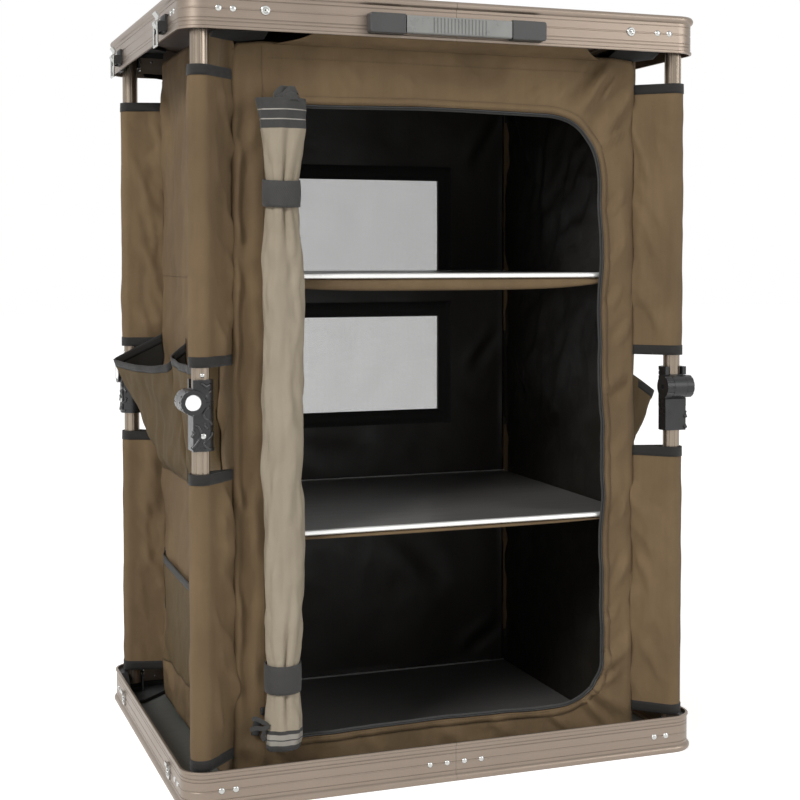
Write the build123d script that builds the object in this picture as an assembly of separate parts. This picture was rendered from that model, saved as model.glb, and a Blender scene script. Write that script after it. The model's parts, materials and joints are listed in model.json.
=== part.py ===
from build123d import *
from math import cos, radians, sin
import os

# Folding camping cupboard. X is the width, Y the depth (the door faces -Y), Z is up.
# All sizes are in millimetres. The origin is the centre of the case's underside.
# Shut, the cupboard is a flat case: the worktop tray lies upside down on the base tray,
# with the posts, shelves and cloth between them.

# Driving dimensions
CASE_W = 600.0            # over the flat outer faces of the rails
CASE_D = 460.0
HEIGHT = 850.0
RAIL_H = 42.0             # height of one tray's rail
RAIL_T = 1.6              # wall of the rail
RAIL_CORNER_R = 26.0
BEAD_OUT = 3.0            # how far the rail's bead stands out at the panel side
BEAD_H = 8.0
LIP_OUT = 1.2             # small lip at the open edge
PANEL_T = 5.0             # worktop and base boards
SEAM_GAP = 0.3            # between the two halves of a rail

POST_D = 19.0
POST_BORE_D = 16.2
POST_INSET_X = 22.5       # post axis to the rail's outer face
POST_INSET_Y = 20.0
PIVOT_Z = 31.3            # end pivots above the underside, and below the worktop
POST_TAIL = 10.0          # post beyond its end pivot
ELBOW_OFFSET = 11.0       # elbow pivot outside the post's axis
ELBOW_Z = HEIGHT / 2
DRUM_R = 13.0             # hinge drum of the elbow
DRUM_HALF_W = 17.4
TONGUE_HALF_W = 8.2       # centre disc of the drum
HINGE_GAP = 0.3
PIN_R = 3.0
RUNNING_FIT = 0.06

BODY_W = 480.0            # cloth body
BODY_D = 380.0
BODY_TOP = 800.0
CLOTH_T = 1.0
SHELF_CENTRES = {"lower": 275.0, "upper": 554.0}
SHELF_T = 4.0
ROD_R = 3.0

# Worked out from the driving dimensions
POST_X = CASE_W / 2 - POST_INSET_X
POST_Y = CASE_D / 2 - POST_INSET_Y
POST_R = POST_D / 2
INNER_X = CASE_W / 2 - RAIL_T
INNER_Y = CASE_D / 2 - RAIL_T
BODY_X = BODY_W / 2
BODY_Y = BODY_D / 2
SOCKET_R = 13.3
SOCKET_FLAT = 10.6        # the sockets stop here on the elbow pivot's side
CORNERS = ("front_left", "front_right", "rear_right", "rear_left")

os.makedirs("parts", exist_ok=True)


def save(name, *solids):
    """Write one node; several solids become one compound."""
    shapes = [s for item in solids for s in item.solids()]
    for shape in shapes:
        shape.label = name
    export_step(shapes[0] if len(shapes) == 1 else Compound(children=shapes), f"parts/{name}.step")


def flip_to_top(shape):
    """Mirror a piece of the base tray into the worktop tray."""
    return shape.mirror(Plane.XY.offset(HEIGHT / 2))


def block(x0, x1, y0, y1, z0, z1):
    """Box between two corners."""
    return Pos((x0 + x1) / 2, (y0 + y1) / 2, (z0 + z1) / 2) * Box(x1 - x0, y1 - y0, z1 - z0)


def rod_y(x, z, y0, y1, r):
    """Round bar along Y."""
    return Pos(x, (y0 + y1) / 2, z) * Rot(90, 0, 0) * Cylinder(r, abs(y1 - y0))


def rod_x(y, z, x0, x1, r):
    """Round bar along X."""
    return Pos((x0 + x1) / 2, y, z) * Rot(0, 90, 0) * Cylinder(r, abs(x1 - x0))


def plate_xz(points, y0, y1):
    """Outline in X and Z, given thickness from y0 to y1."""
    face = Plane.XZ * make_face(Polyline(*points, close=True))
    return Pos(0, y1, 0) * extrude(face, y1 - y0)


def plate_yz(points, x0, x1):
    """Outline in Y and Z, given thickness from x0 to x1."""
    face = Plane.YZ * make_face(Polyline(*points, close=True))
    return Pos(x0, 0, 0) * extrude(face, x1 - x0)


def at_corner(corner, shape):
    """Turn a piece made about a front-left post's axis and put it on its own post.

    Each post folds along the rail on its right, so the four are quarter turns of one another.
    """
    turn = CORNERS.index(corner)
    x = POST_X if corner.endswith("right") else -POST_X
    y = POST_Y if corner.startswith("rear") else -POST_Y
    return Pos(x, y, 0) * (Rot(0, 0, 90 * turn) * shape)


# Trays

def rail_outline():
    """Section of the rail: X is outwards from its flat face, Y is up from the underside."""
    half_bead = BEAD_H / 2
    flange_z = PANEL_T + 0.1
    flange_in = 6.4
    grooves = ((12.0, 0.5), (21.0, 1.0), (31.0, 0.6), (34.5, 0.6))
    face_points = []
    for z, half in grooves:
        face_points += [(0, z - half), (-0.5, z - half * 0.4), (-0.5, z + half * 0.4), (0, z + half)]
    with BuildSketch() as sketch:
        with BuildLine():
            Line((-RAIL_T, 0), (0.6, 0))
            ThreePointArc((0.6, 0), (BEAD_OUT, half_bead), (0.6, BEAD_H))
            Polyline((0.6, BEAD_H), (0, BEAD_H + 0.6), *face_points, (0, RAIL_H - 3.4),
                     (LIP_OUT, RAIL_H - 2.6), (LIP_OUT, RAIL_H - 0.6), (LIP_OUT - 0.6, RAIL_H),
                     (-RAIL_T, RAIL_H), (-RAIL_T, flange_z + 1.6), (-RAIL_T - flange_in, flange_z + 1.6),
                     (-RAIL_T - flange_in, flange_z), (-RAIL_T, flange_z), (-RAIL_T, 0))
        make_face()
    return sketch.sketch


def base_rails():
    """Two bent halves that butt in the middle of the front and the back."""
    start_x = SEAM_GAP / 2
    path = FilletPolyline((start_x, -CASE_D / 2), (CASE_W / 2, -CASE_D / 2), (CASE_W / 2, CASE_D / 2),
                          (start_x, CASE_D / 2), radius=RAIL_CORNER_R)
    start = Plane(origin=(start_x, -CASE_D / 2, 0), x_dir=(0, -1, 0), z_dir=(-1, 0, 0))
    right = sweep(start * rail_outline(), path=path)
    return [right, right.mirror(Plane.YZ)]


def base_panel():
    """Board that fills the tray, flush with the rail's edge."""
    clearance = 0.2
    board = RectangleRounded(2 * (INNER_X - clearance), 2 * (INNER_Y - clearance),
                             RAIL_CORNER_R - RAIL_T - clearance)
    return extrude(board, PANEL_T)


def splices():
    """Plates behind the rail's two seams."""
    half_length, low, high, thickness = 42.0, PANEL_T + 2.4, RAIL_H - 4, 1.5
    pieces = []
    for side in (-1, 1):
        outer = side * (INNER_Y - 0.02)
        inner = side * (INNER_Y - 0.02 - thickness)
        plate = block(-half_length, half_length, min(outer, inner), max(outer, inner), low, high)
        pieces.append(fillet(plate.edges().filter_by(Axis.Y), 4))
    return pieces


def corner_bracket(wall_a, wall_b):
    """Moulded corner about a front-left post: floor, two outer cheeks and a low inner cheek.

    The post lies down towards +X, and the neighbour's elbow comes to rest over the low arm.
    wall_a and wall_b are the distances from the post's axis to the rail's inside.
    """
    floor_z, arm, cheek_top = PANEL_T + 1.8, 46.0, 38.0
    cheek_b = 10.0            # inner face of the cheek beside the post
    cheek_a = 14.6            # clears the post's tail as it turns
    floor = extrude(Pos(0, 0, floor_z) * make_face(Polyline(
        (-wall_a, -wall_b), (arm, -wall_b), (arm, 6), (6, arm), (-wall_a, arm), close=True)), 3.0)
    deck = floor_z + 3.0
    long_cheek = plate_xz([(-wall_a, deck), (arm, deck), (arm, 20), (16, cheek_top), (-wall_a, cheek_top)],
                          -wall_b, -cheek_b)
    side_cheek = plate_yz([(-cheek_b, deck), (arm, deck), (arm, 16), (11, 16), (11, cheek_top),
                           (-cheek_b, cheek_top)], -wall_a, -cheek_a)
    ear = block(-7, 7, cheek_b, cheek_b + 2, deck, PIVOT_Z) + rod_y(0, PIVOT_Z, cheek_b, cheek_b + 2, 5)
    bracket = floor + long_cheek + side_cheek + ear
    # Open pockets lighten the long cheek, with ribs between them
    for x in (18.5, 28.0, 37.5):
        bracket -= block(x - 3.6, x + 3.6, -wall_b + 2, -cheek_b + 1, deck + 2, 36.5 - 0.6 * (x - 14.9))
    bracket -= rod_y(0, PIVOT_Z, -wall_b - 1, cheek_b + 3, PIN_R + 0.02)
    # The outer corner follows the bend of the rail
    bend = RectangleRounded(200, 200, RAIL_CORNER_R - RAIL_T)
    outer = extrude(Pos(-wall_a + 100, -wall_b + 100, 0) * bend, 50)
    return bracket & outer


def pivot_pin(wall_b):
    """Pin through the bracket's cheeks and the post's end, with a flat head on the inside."""
    head_start = 12.1
    shank = rod_y(0, PIVOT_Z, -wall_b + 1.8, head_start, PIN_R)
    return shank + rod_y(0, PIVOT_Z, head_start, head_start + 1.0, 4.2)


def wall_distances(corner):
    """Post axis to the rail's inside, behind the fold direction and beside it."""
    along_x, along_y = POST_INSET_X - RAIL_T - 0.1, POST_INSET_Y - RAIL_T - 0.1
    return (along_x, along_y) if corner in ("front_left", "rear_right") else (along_y, along_x)


# Folding posts, made about the front-left post's axis with the fold towards +X

def post_section():
    """Round tube with eight shallow flutes."""
    section = Circle(POST_R)
    for flute in range(8):
        angle = radians(45 * flute)
        section -= Pos(9.95 * cos(angle), 9.95 * sin(angle)) * Circle(1.0)
    return section - Circle(POST_BORE_D / 2)


def lower_tube():
    """Lower half of a post, drilled for its end pivot."""
    low, high = PIVOT_Z - POST_TAIL, ELBOW_Z - 17.0
    tube = extrude(Pos(0, 0, low) * post_section(), high - low)
    return tube - rod_y(0, PIVOT_Z, -20, 20, PIN_R + RUNNING_FIT)


def upper_tube(pin_gap):
    """Upper half of a post."""
    low, high = ELBOW_Z + 13.8, HEIGHT - PIVOT_Z + POST_TAIL
    tube = extrude(Pos(0, 0, low) * post_section(), high - low)
    return tube - rod_y(0, HEIGHT - PIVOT_Z, -20, 20, PIN_R + pin_gap)


def socket_block(z0, z1, half_w):
    """Round-backed block around the post, flat on the elbow pivot's side."""
    round_part = Pos(0, 0, z0) * extrude(Circle(SOCKET_R), z1 - z0)
    square_part = block(-SOCKET_FLAT, 6, -half_w, half_w, z0, z1)
    keep = block(-SOCKET_FLAT, SOCKET_R, -half_w, half_w, z0, z1)
    return (round_part + square_part) & keep


def disc(y0, y1, r):
    """Round disc on the elbow's pivot axis."""
    return rod_y(-ELBOW_OFFSET, ELBOW_Z, y0, y1, r)


def lower_knuckle():
    """Socket on the lower tube with the two outer discs of the hinge drum."""
    stop_z = ELBOW_Z - HINGE_GAP / 2
    socket = socket_block(374.0, 402.0, SOCKET_R) + socket_block(402.0, stop_z, 13.5)
    collar = Pos(0, 0, 374.0) * extrude(Circle(SOCKET_R + 0.9), 3.0)
    collar &= block(-SOCKET_FLAT, 20, -20, 20, 370, 380)
    body = socket + collar
    body -= disc(-TONGUE_HALF_W - HINGE_GAP, TONGUE_HALF_W + HINGE_GAP, DRUM_R + 0.5)
    for side in (-1, 1):
        y0, y1 = sorted((side * (TONGUE_HALF_W + HINGE_GAP), side * DRUM_HALF_W))
        body += disc(y0, y1, DRUM_R)
    for angle in range(0, 360, 30):
        x = -ELBOW_OFFSET + (DRUM_R + 0.5) * cos(radians(angle))
        z = ELBOW_Z + (DRUM_R + 0.5) * sin(radians(angle))
        if x < -ELBOW_OFFSET + 2:
            body -= rod_y(x, z, -DRUM_HALF_W - 1, DRUM_HALF_W + 1, 1.1)
    body -= Pos(0, 0, 373.0) * extrude(Circle(POST_R + 0.02), ELBOW_Z - 17.0 - 373.0)
    body -= disc(-DRUM_HALF_W - 1, DRUM_HALF_W + 1, PIN_R + RUNNING_FIT)
    return body - disc(-DRUM_HALF_W - 1, -12.6, 8.6)


def upper_knuckle():
    """Fork on the upper tube, open towards the elbow's outside, with the drum's centre disc."""
    stop_z, top_z = ELBOW_Z + HINGE_GAP / 2, 448.0
    body = socket_block(stop_z, top_z, 13.5)
    for side in (-1, 1):
        y0, y1 = sorted((side * (TONGUE_HALF_W + 0.1), side * 20.0))
        body -= disc(y0, y1, DRUM_R + 0.5)
    body += disc(-TONGUE_HALF_W, TONGUE_HALF_W, DRUM_R)
    body -= Pos(0, 0, ELBOW_Z + 13.8) * extrude(Circle(POST_R + 0.02), 30)
    body -= block(-20, 0, -9.0, 9.0, ELBOW_Z + 13.8, top_z + 1)
    # Slanted ribs on the outer faces
    for side in (-1, 1):
        y0, y1 = sorted((side * 12.8, side * 14.0))
        for z in (440.0, 445.0):
            body -= plate_xz([(-4, z), (12, z - 5), (12, z - 3.4), (-4, z + 1.6)], y0, y1)
    return body - disc(-DRUM_HALF_W, DRUM_HALF_W, PIN_R + RUNNING_FIT)


def lock_button():
    """Push pin: a chromed head in the drum's recess and the shank the elbow turns on."""
    head = disc(-18.0, -15.4, 8.4)
    head = chamfer(head.edges().filter_by(GeomType.CIRCLE).sort_by(Axis.Y)[0], 0.7)
    return head + disc(-15.4, 13.0, PIN_R)


# Carry handle on the front of the worktop's rail

HANDLE_Z = HEIGHT - 28.0
HANDLE_HALF_L = 102.0
HANDLE_HALF_H = 10.5
HANDLE_OUT = 11.0
CAP_L = 40.0


def handle_caps():
    """Moulded end caps, hollow so that the grip's tongues can lift in them."""
    face_y = -CASE_D / 2 - LIP_OUT
    caps = []
    for side in (-1, 1):
        x0, x1 = sorted((side * HANDLE_HALF_L, side * (HANDLE_HALF_L - CAP_L)))
        cap = block(x0, x1, face_y - HANDLE_OUT, -CASE_D / 2 - 0.05, HANDLE_Z - HANDLE_HALF_H,
                    HANDLE_Z + HANDLE_HALF_H)
        cap = fillet(cap.edges().filter_by(Axis.Y).group_by(Axis.X)[0 if side < 0 else -1], 3)
        cap = fillet(cap.faces().sort_by(Axis.Y)[0].edges(), 1.2)
        mouth = side * (HANDLE_HALF_L - CAP_L - 1)
        s0, s1 = sorted((mouth, side * (HANDLE_HALF_L - 4)))
        cap -= block(s0, s1, face_y - 9.4, -CASE_D / 2 - 1.6, HANDLE_Z - 8.0, HANDLE_Z + 8.0)
        caps.append(cap)
    return caps


def handle_grip():
    """Strap with a ribbed middle and a thinner tongue at each end."""
    face_y = -CASE_D / 2 - LIP_OUT
    half = HANDLE_HALF_L - CAP_L - 1.2
    grip = block(-half, half, face_y - 10.2, face_y - 3.0, HANDLE_Z - 9.6, HANDLE_Z + 9.6)
    grip = fillet(grip.edges().filter_by(Axis.X), 2.2)
    for rib in range(16):
        x = -30 + rib * 4.0
        grip -= block(x - 0.7, x + 0.7, face_y - 11, face_y - 9.5, HANDLE_Z - 8, HANDLE_Z + 8)
    tongues = block(-half - 26, half + 26, face_y - 4.2, face_y - 2.2, HANDLE_Z - 7.4, HANDLE_Z + 7.4)
    return grip + tongues


# Draw latches between the trays. They are made on the left wall, with the wall's face at X = 0
# and outwards towards -X, and then put in place.

LATCH_Y = 145.0
LEVER_X, LEVER_Z = -6.0, HEIGHT - 32.0
BAIL_X, BAIL_Z = -10.0, LEVER_Z + 4.5
BAIL_FOOT_Z = HEIGHT - 51.5
WIRE_R = 1.25
EAR_OUT = 9.0             # ears of the latch's base


def on_wall(shape, side, y):
    """Put a latch piece on the left (-1) or right (1) wall."""
    placed = shape if side < 0 else shape.mirror(Plane.YZ)
    return Pos(side * CASE_W / 2, y, 0) * placed


def latch_base():
    """Riveted plate with two ears and the lever's pin."""
    plate = block(-2.6, -0.05, -14, 14, HEIGHT - 37.5, HEIGHT - 18.5)
    base = chamfer(plate.edges().filter_by(Axis.X), 2.0)
    for side in (-1, 1):
        y0, y1 = sorted((side * 11.0, side * 13.4))
        base += block(-EAR_OUT, -2.0, y0, y1, HEIGHT - 37.0, HEIGHT - 26.0)
    base = base + rod_y(LEVER_X, LEVER_Z, -13.4, 13.4, 2.0)
    return base


def latch_lever():
    """Pressed lever: a barrel on the pin, a nose that carries the bail, and a thumb plate."""
    half_w = 7.0
    barrel = rod_y(LEVER_X, LEVER_Z, -half_w, half_w, 3.4)
    nose = rod_y(BAIL_X, BAIL_Z, -half_w, half_w, 2.7)
    web = plate_xz([(-8.4, LEVER_Z - 2.4), (-12.0, BAIL_Z - 1.8), (-8.2, BAIL_Z + 2.0),
                    (-3.8, LEVER_Z + 2.6)], -half_w, half_w)
    thumb_half_w = half_w + 2.0
    thumb = plate_xz([(-9.8, BAIL_Z + 1.0), (-7.6, BAIL_Z + 1.0), (-6.6, HEIGHT - 20),
                      (-10.8, HEIGHT - 14.8), (-12.0, HEIGHT - 16.2), (-8.6, HEIGHT - 20.8)],
                     -thumb_half_w, thumb_half_w)
    thumb &= block(-14, 0, -thumb_half_w, thumb_half_w, BAIL_Z + 3.2, HEIGHT)
    neck = plate_xz([(-9.8, BAIL_Z + 1.0), (-7.6, BAIL_Z + 1.0), (-7.3, BAIL_Z + 3.6),
                     (-9.5, BAIL_Z + 3.6)], -half_w, half_w)
    lever = barrel + nose + web + neck + thumb
    lever -= rod_y(LEVER_X, LEVER_Z, -20, 20, 2.0 + RUNNING_FIT)
    return lever - rod_y(BAIL_X, BAIL_Z, -20, 20, WIRE_R + RUNNING_FIT)


def latch_bail():
    """Wire loop that hangs from the lever's nose."""
    half_w = 9.2
    path = Polyline((BAIL_X, 0, BAIL_Z), (BAIL_X, half_w, BAIL_Z), (BAIL_X, half_w, BAIL_FOOT_Z),
                    (BAIL_X, -half_w, BAIL_FOOT_Z), (BAIL_X, -half_w, BAIL_Z), (BAIL_X, 0, BAIL_Z))
    wire = Plane(origin=(BAIL_X, 0, BAIL_Z), x_dir=(1, 0, 0), z_dir=(0, 1, 0)) * Circle(WIRE_R)
    return sweep(wire, path=path, transition=Transition.RIGHT)


def latch_keeper():
    """Hooked plate on the base rail, open in the middle."""
    plate = block(-1.8, -0.05, -8, 8, 12, 28)
    plate = chamfer(plate.edges().filter_by(Axis.X), 2.0)
    hook = plate_xz([(-1.6, 23), (-4.0, 25.5), (-4.0, 29.5), (-2.6, 29.5), (-2.6, 26.4), (-1.6, 26.0)],
                    -5.5, 5.5)
    keeper = plate + hook
    return keeper - rod_x(0, 18, -5, 1, 2.6)


# Shelves

SHELF_X = 236.0
SHELF_ROD_Y = 183.0


def shelf_board(centre_z):
    """Stiff board whose front and back edges lie against the rods."""
    board = Rectangle(2 * SHELF_X, 2 * (SHELF_ROD_Y - ROD_R - 0.05))
    board = extrude(Pos(0, 0, centre_z - SHELF_T / 2) * board, SHELF_T)
    return fillet(board.edges().filter_by(Axis.Z), 2)


def shelf_rods(centre_z):
    """Bright rods along the front and the back edge."""
    return [rod_x(side * SHELF_ROD_Y, centre_z, -SHELF_X, SHELF_X, ROD_R) for side in (-1, 1)]


# Cloth body

DOOR_X0, DOOR_X1 = -178.0, 196.0
DOOR_Z0, DOOR_Z1 = 57.0, 737.0
DOOR_R = 85.0
CLOTH_Z0 = PANEL_T + 0.1
WINDOW_X = 140.0
WINDOW_LEVELS = ((365.0, 495.0), (554.0, 680.0))


def door_outline(grow):
    """The D-shaped opening: square on the hinge side, round on the other."""
    x0, x1, z0, z1 = DOOR_X0 - grow, DOOR_X1 + grow, DOOR_Z0 - grow, DOOR_Z1 + grow
    r = DOOR_R + grow
    with BuildSketch() as sketch:
        with BuildLine():
            Line((x0, z0), (x1 - r, z0))
            RadiusArc((x1 - r, z0), (x1, z0 + r), -r)
            Line((x1, z0 + r), (x1, z1 - r))
            RadiusArc((x1, z1 - r), (x1 - r, z1), -r)
            Line((x1 - r, z1), (x0, z1))
            Line((x0, z1), (x0, z0))
        make_face()
    return sketch.sketch


def upright(sketch, y, thickness):
    """Stand a flat sketch up in XZ with its back at y and its thickness towards -Y."""
    return Pos(0, y, 0) * extrude(Plane.XZ * sketch, thickness)


def cloth_outline():
    """Front or back panel: its top corners are drawn in a little by the posts."""
    return make_face(Polyline((-BODY_X, CLOTH_Z0), (BODY_X, CLOTH_Z0), (BODY_X, BODY_TOP - 14),
                              (BODY_X - 26, BODY_TOP), (-BODY_X + 26, BODY_TOP), (-BODY_X, BODY_TOP - 14),
                              close=True))


def front_panel():
    """Front of the body with the door opening."""
    return upright(cloth_outline() - door_outline(0), -BODY_Y + CLOTH_T, CLOTH_T)


def back_panel():
    """Back of the body with two window openings."""
    sketch = cloth_outline()
    for z0, z1 in WINDOW_LEVELS:
        sketch -= Pos(0, (z0 + z1) / 2) * Rectangle(2 * WINDOW_X, z1 - z0)
    return upright(sketch, BODY_Y, CLOTH_T)


def window_mesh():
    """Net panels stitched inside the back."""
    overlap = 8.0
    half_x = WINDOW_X + overlap
    y0, y1 = BODY_Y - CLOTH_T - 0.7, BODY_Y - CLOTH_T - 0.1
    return [block(-half_x, half_x, y0, y1, z0 - overlap, z1 + overlap) for z0, z1 in WINDOW_LEVELS]


def side_panels():
    """Left and right walls, between the front and the back."""
    y = BODY_Y - CLOTH_T - 0.1
    outline = [(-y, CLOTH_Z0), (y, CLOTH_Z0), (y, BODY_TOP - 14), (-y, BODY_TOP - 14)]
    left = plate_yz(outline, -BODY_X, -BODY_X + CLOTH_T)
    return [left, left.mirror(Plane.YZ)]


def roof_panel():
    """Cloth roof under the worktop."""
    x, y = BODY_X - 26.5, BODY_Y - CLOTH_T - 0.1
    return block(-x, x, -y, y, BODY_TOP - CLOTH_T, BODY_TOP)


def door_zip():
    """Zip tape round the opening, on the panel's outside."""
    tape, thickness = 13.0, 1.0
    return upright(door_outline(tape) - door_outline(-2.0), -BODY_Y - 0.05, thickness)


ROLL_X, ROLL_Y = -190.0, -BODY_Y - 19.5
ROLL_LEVELS = ((52.0, 19.0, 14.0), (82.0, 22.0, 16.0), (110.0, 20.0, 15.2), (112.0, 19.6, 15.0),
               (146.0, 19.6, 15.0), (148.0, 20.0, 15.2), (200.0, 22.8, 17.6), (400.0, 23.0, 17.8),
               (590.0, 22.8, 17.6), (624.0, 20.6, 15.4), (626.0, 20.2, 15.2), (658.0, 20.2, 15.2),
               (660.0, 20.6, 15.4), (700.0, 22.6, 17.2), (742.0, 23.6, 17.8))
TIES = ((114.0, 144.0, 19.6, 15.0), (628.0, 656.0, 20.2, 15.2))


def door_roll():
    """The rolled-up door: full between its ties, drawn in under them."""
    sections = [Pos(ROLL_X, ROLL_Y, z) * Ellipse(half_x, half_y) for z, half_x, half_y in ROLL_LEVELS]
    return loft(Sketch() + sections, ruled=True)


def door_ties():
    """Webbing bands that hold the roll."""
    ties = []
    for z0, z1, half_x, half_y in TIES:
        band = Ellipse(half_x + 2.0, half_y + 2.0) - Ellipse(half_x + 0.5, half_y + 0.5)
        ties.append(extrude(Pos(ROLL_X, ROLL_Y, z0) * band, z1 - z0))
    return ties


SLEEVE_LEVELS = ((40.0, 349.0), (461.0, 772.0))
SLEEVE_R = 12.2
HEM_H = 11.0


def sleeve_outline(corner, grow):
    """Teardrop in plan: round the post and in to the body's corner."""
    sx = 1 if corner.endswith("right") else -1
    sy = 1 if corner.startswith("rear") else -1
    big = Pos(sx * POST_X, sy * POST_Y) * Circle(SLEEVE_R + grow)
    small = Pos(sx * (BODY_X + 2.6), sy * (BODY_Y + 2.6)) * Circle(1.6 + grow)
    return make_hull(big.edges() + small.edges())


def post_sleeves():
    """Cloth sleeves that tie the body to the posts."""
    pieces = []
    for corner in CORNERS:
        ring = sleeve_outline(corner, 0) - sleeve_outline(corner, -CLOTH_T)
        pieces += [extrude(Pos(0, 0, z0) * ring, z1 - z0) for z0, z1 in SLEEVE_LEVELS]
    return pieces


def sleeve_hems():
    """Webbing bound round both ends of each sleeve."""
    pieces = []
    for corner in CORNERS:
        ring = sleeve_outline(corner, 0.8) - sleeve_outline(corner, 0.05)
        for z0, z1 in SLEEVE_LEVELS:
            for level in (z0, z1 - HEM_H):
                pieces.append(extrude(Pos(0, 0, level) * ring, HEM_H))
    return pieces


# Pockets on the walls: side, rear Y, front Y, mouth level at the wall and outside, foot, depth
POCKETS = ((-1, 172.0, 22.0, 478.0, 447.0, 305.0, 56.0),
           (-1, 18.0, -150.0, 470.0, 452.0, 305.0, 34.0),
           (-1, 165.0, -150.0, 204.0, 196.0, 60.0, 7.0),
           (1, 160.0, -150.0, 448.0, 420.0, 305.0, 52.0))


def pocket(side, y1, y0, wall_z, mouth_z, foot_z, depth):
    """Open-topped pocket: a sloping outer sheet closed by a gusset at each end."""
    x0 = -BODY_X - 0.2
    x1 = x0 - depth
    knee_z = foot_z + 0.45 * (mouth_z - foot_z)
    knee_x = x0 - 0.62 * depth
    outer = [(x0, foot_z - 1.6), (knee_x - 1.0, knee_z), (x1 - 1.0, mouth_z), (x1, mouth_z),
             (knee_x, knee_z), (x0, foot_z)]
    gusset = [(x0, foot_z), (knee_x, knee_z), (x1, mouth_z), (x0, wall_z)]
    shell = plate_xz(outer, y0, y1)
    shell += plate_xz(gusset, y0, y0 + CLOTH_T) + plate_xz(gusset, y1 - CLOTH_T, y1)
    return shell if side < 0 else shell.mirror(Plane.YZ)


def fixing_flaps():
    """Cloth strips from the body's top to the inside of the worktop's rails, front and back."""
    half_l, y_in, y_out = 158.0, BODY_Y + 0.2, INNER_Y - 1.9
    z_in, z_out = BODY_TOP - 0.5, HEIGHT - RAIL_H + 0.5
    outline = [(-y_in, z_in), (-y_in, z_in + CLOTH_T), (-y_out, z_out + CLOTH_T), (-y_out, z_out)]
    front = plate_yz(outline, -half_l, half_l)
    return [front, front.mirror(Plane.XZ)]


# Write every node

rails = base_rails()
save("base_rails", *rails)
save("top_rails", *[flip_to_top(r) for r in rails])
save("base_panel", base_panel())
save("worktop", flip_to_top(base_panel()))
save("base_splices", *splices())
save("top_splices", *[flip_to_top(s) for s in splices()])

brackets = [at_corner(c, corner_bracket(*wall_distances(c))) for c in CORNERS]
save("base_corner_brackets", *brackets)
save("top_corner_brackets", *[flip_to_top(b) for b in brackets])
pins = [at_corner(c, pivot_pin(wall_distances(c)[1])) for c in CORNERS]
save("base_pivot_pins", *pins)
save("top_pivot_pins", *[flip_to_top(p) for p in pins])

for corner_name in CORNERS:
    hinge_gap = RUNNING_FIT if corner_name == "front_left" else 0.3
    save(f"lower_tube_{corner_name}", at_corner(corner_name, lower_tube()))
    save(f"lower_knuckle_{corner_name}", at_corner(corner_name, lower_knuckle()))
    save(f"upper_tube_{corner_name}", at_corner(corner_name, upper_tube(hinge_gap)))
    save(f"upper_knuckle_{corner_name}", at_corner(corner_name, upper_knuckle()))
    save(f"lock_button_{corner_name}", at_corner(corner_name, lock_button()))

save("handle_caps", *handle_caps())
save("handle_grip", handle_grip())

latch_places = {"front_left": (-1, -LATCH_Y), "rear_left": (-1, LATCH_Y),
                "front_right": (1, -LATCH_Y), "rear_right": (1, LATCH_Y)}
save("latch_bases", *[on_wall(latch_base(), *place) for place in latch_places.values()])
save("latch_keepers", *[on_wall(latch_keeper(), *place) for place in latch_places.values()])
for latch_name, place in latch_places.items():
    save(f"latch_lever_{latch_name}", on_wall(latch_lever(), *place))
    save(f"latch_bail_{latch_name}", on_wall(latch_bail(), *place))

save("floor_board", shelf_board(PANEL_T + 0.1 + ROD_R), *shelf_rods(PANEL_T + 0.1 + ROD_R))
for level_name, level_z in SHELF_CENTRES.items():
    save(f"shelf_board_{level_name}", shelf_board(level_z))
    save(f"shelf_rods_{level_name}", *shelf_rods(level_z))

save("front_panel", front_panel())
save("back_panel", back_panel())
save("side_panels", *side_panels())
save("roof_panel", roof_panel())
save("window_mesh", *window_mesh())
save("door_zip", door_zip())
save("door_roll", door_roll())
save("door_ties", *door_ties())
save("post_sleeves", *post_sleeves())
save("sleeve_hems", *sleeve_hems())
save("side_pockets", *[pocket(*p) for p in POCKETS])
save("fixing_flaps", *fixing_flaps())
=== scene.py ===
import json
from math import cos, degrees, dist, exp, hypot, pi, radians, sin, sqrt

import bmesh
import bpy
from mathutils import Matrix, Vector, noise


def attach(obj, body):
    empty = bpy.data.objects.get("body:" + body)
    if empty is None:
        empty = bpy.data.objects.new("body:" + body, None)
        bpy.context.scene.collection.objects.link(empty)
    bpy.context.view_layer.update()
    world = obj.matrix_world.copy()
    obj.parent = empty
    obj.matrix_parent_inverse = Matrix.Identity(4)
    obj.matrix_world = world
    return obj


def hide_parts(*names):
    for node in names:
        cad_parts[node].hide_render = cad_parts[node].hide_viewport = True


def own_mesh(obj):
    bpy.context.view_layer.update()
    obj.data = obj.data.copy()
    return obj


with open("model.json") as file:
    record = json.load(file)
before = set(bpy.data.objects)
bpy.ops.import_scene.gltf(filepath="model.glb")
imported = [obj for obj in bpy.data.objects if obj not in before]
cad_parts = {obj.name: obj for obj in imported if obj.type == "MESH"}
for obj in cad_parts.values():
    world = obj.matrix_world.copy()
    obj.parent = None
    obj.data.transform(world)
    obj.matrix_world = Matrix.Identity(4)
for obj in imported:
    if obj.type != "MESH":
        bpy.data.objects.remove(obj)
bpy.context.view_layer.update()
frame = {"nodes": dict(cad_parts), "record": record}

# Folding camping cupboard. Lengths in this file are in millimetres in the cupboard's frame,
# and MM turns them into metres where a mesh is made.
MM = 0.001
BODY_X, BODY_Y, BODY_TOP, BODY_FOOT = 240.0, 190.0, 800.0, 5.4
SIDE_TOP = 823.0
POST_X, POST_Y = 277.5, 210.0
RAIL_X, RAIL_Y = 300.0, 230.0
ROD_Y = 183.0
CORNERS = {"front_left": (-1, -1), "front_right": (1, -1), "rear_right": (1, 1), "rear_left": (-1, 1)}
# Scale at which a wave texture draws one thread in a metre
THREAD_WAVE = 0.314159
scene = bpy.context.scene


# Finishes

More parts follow.
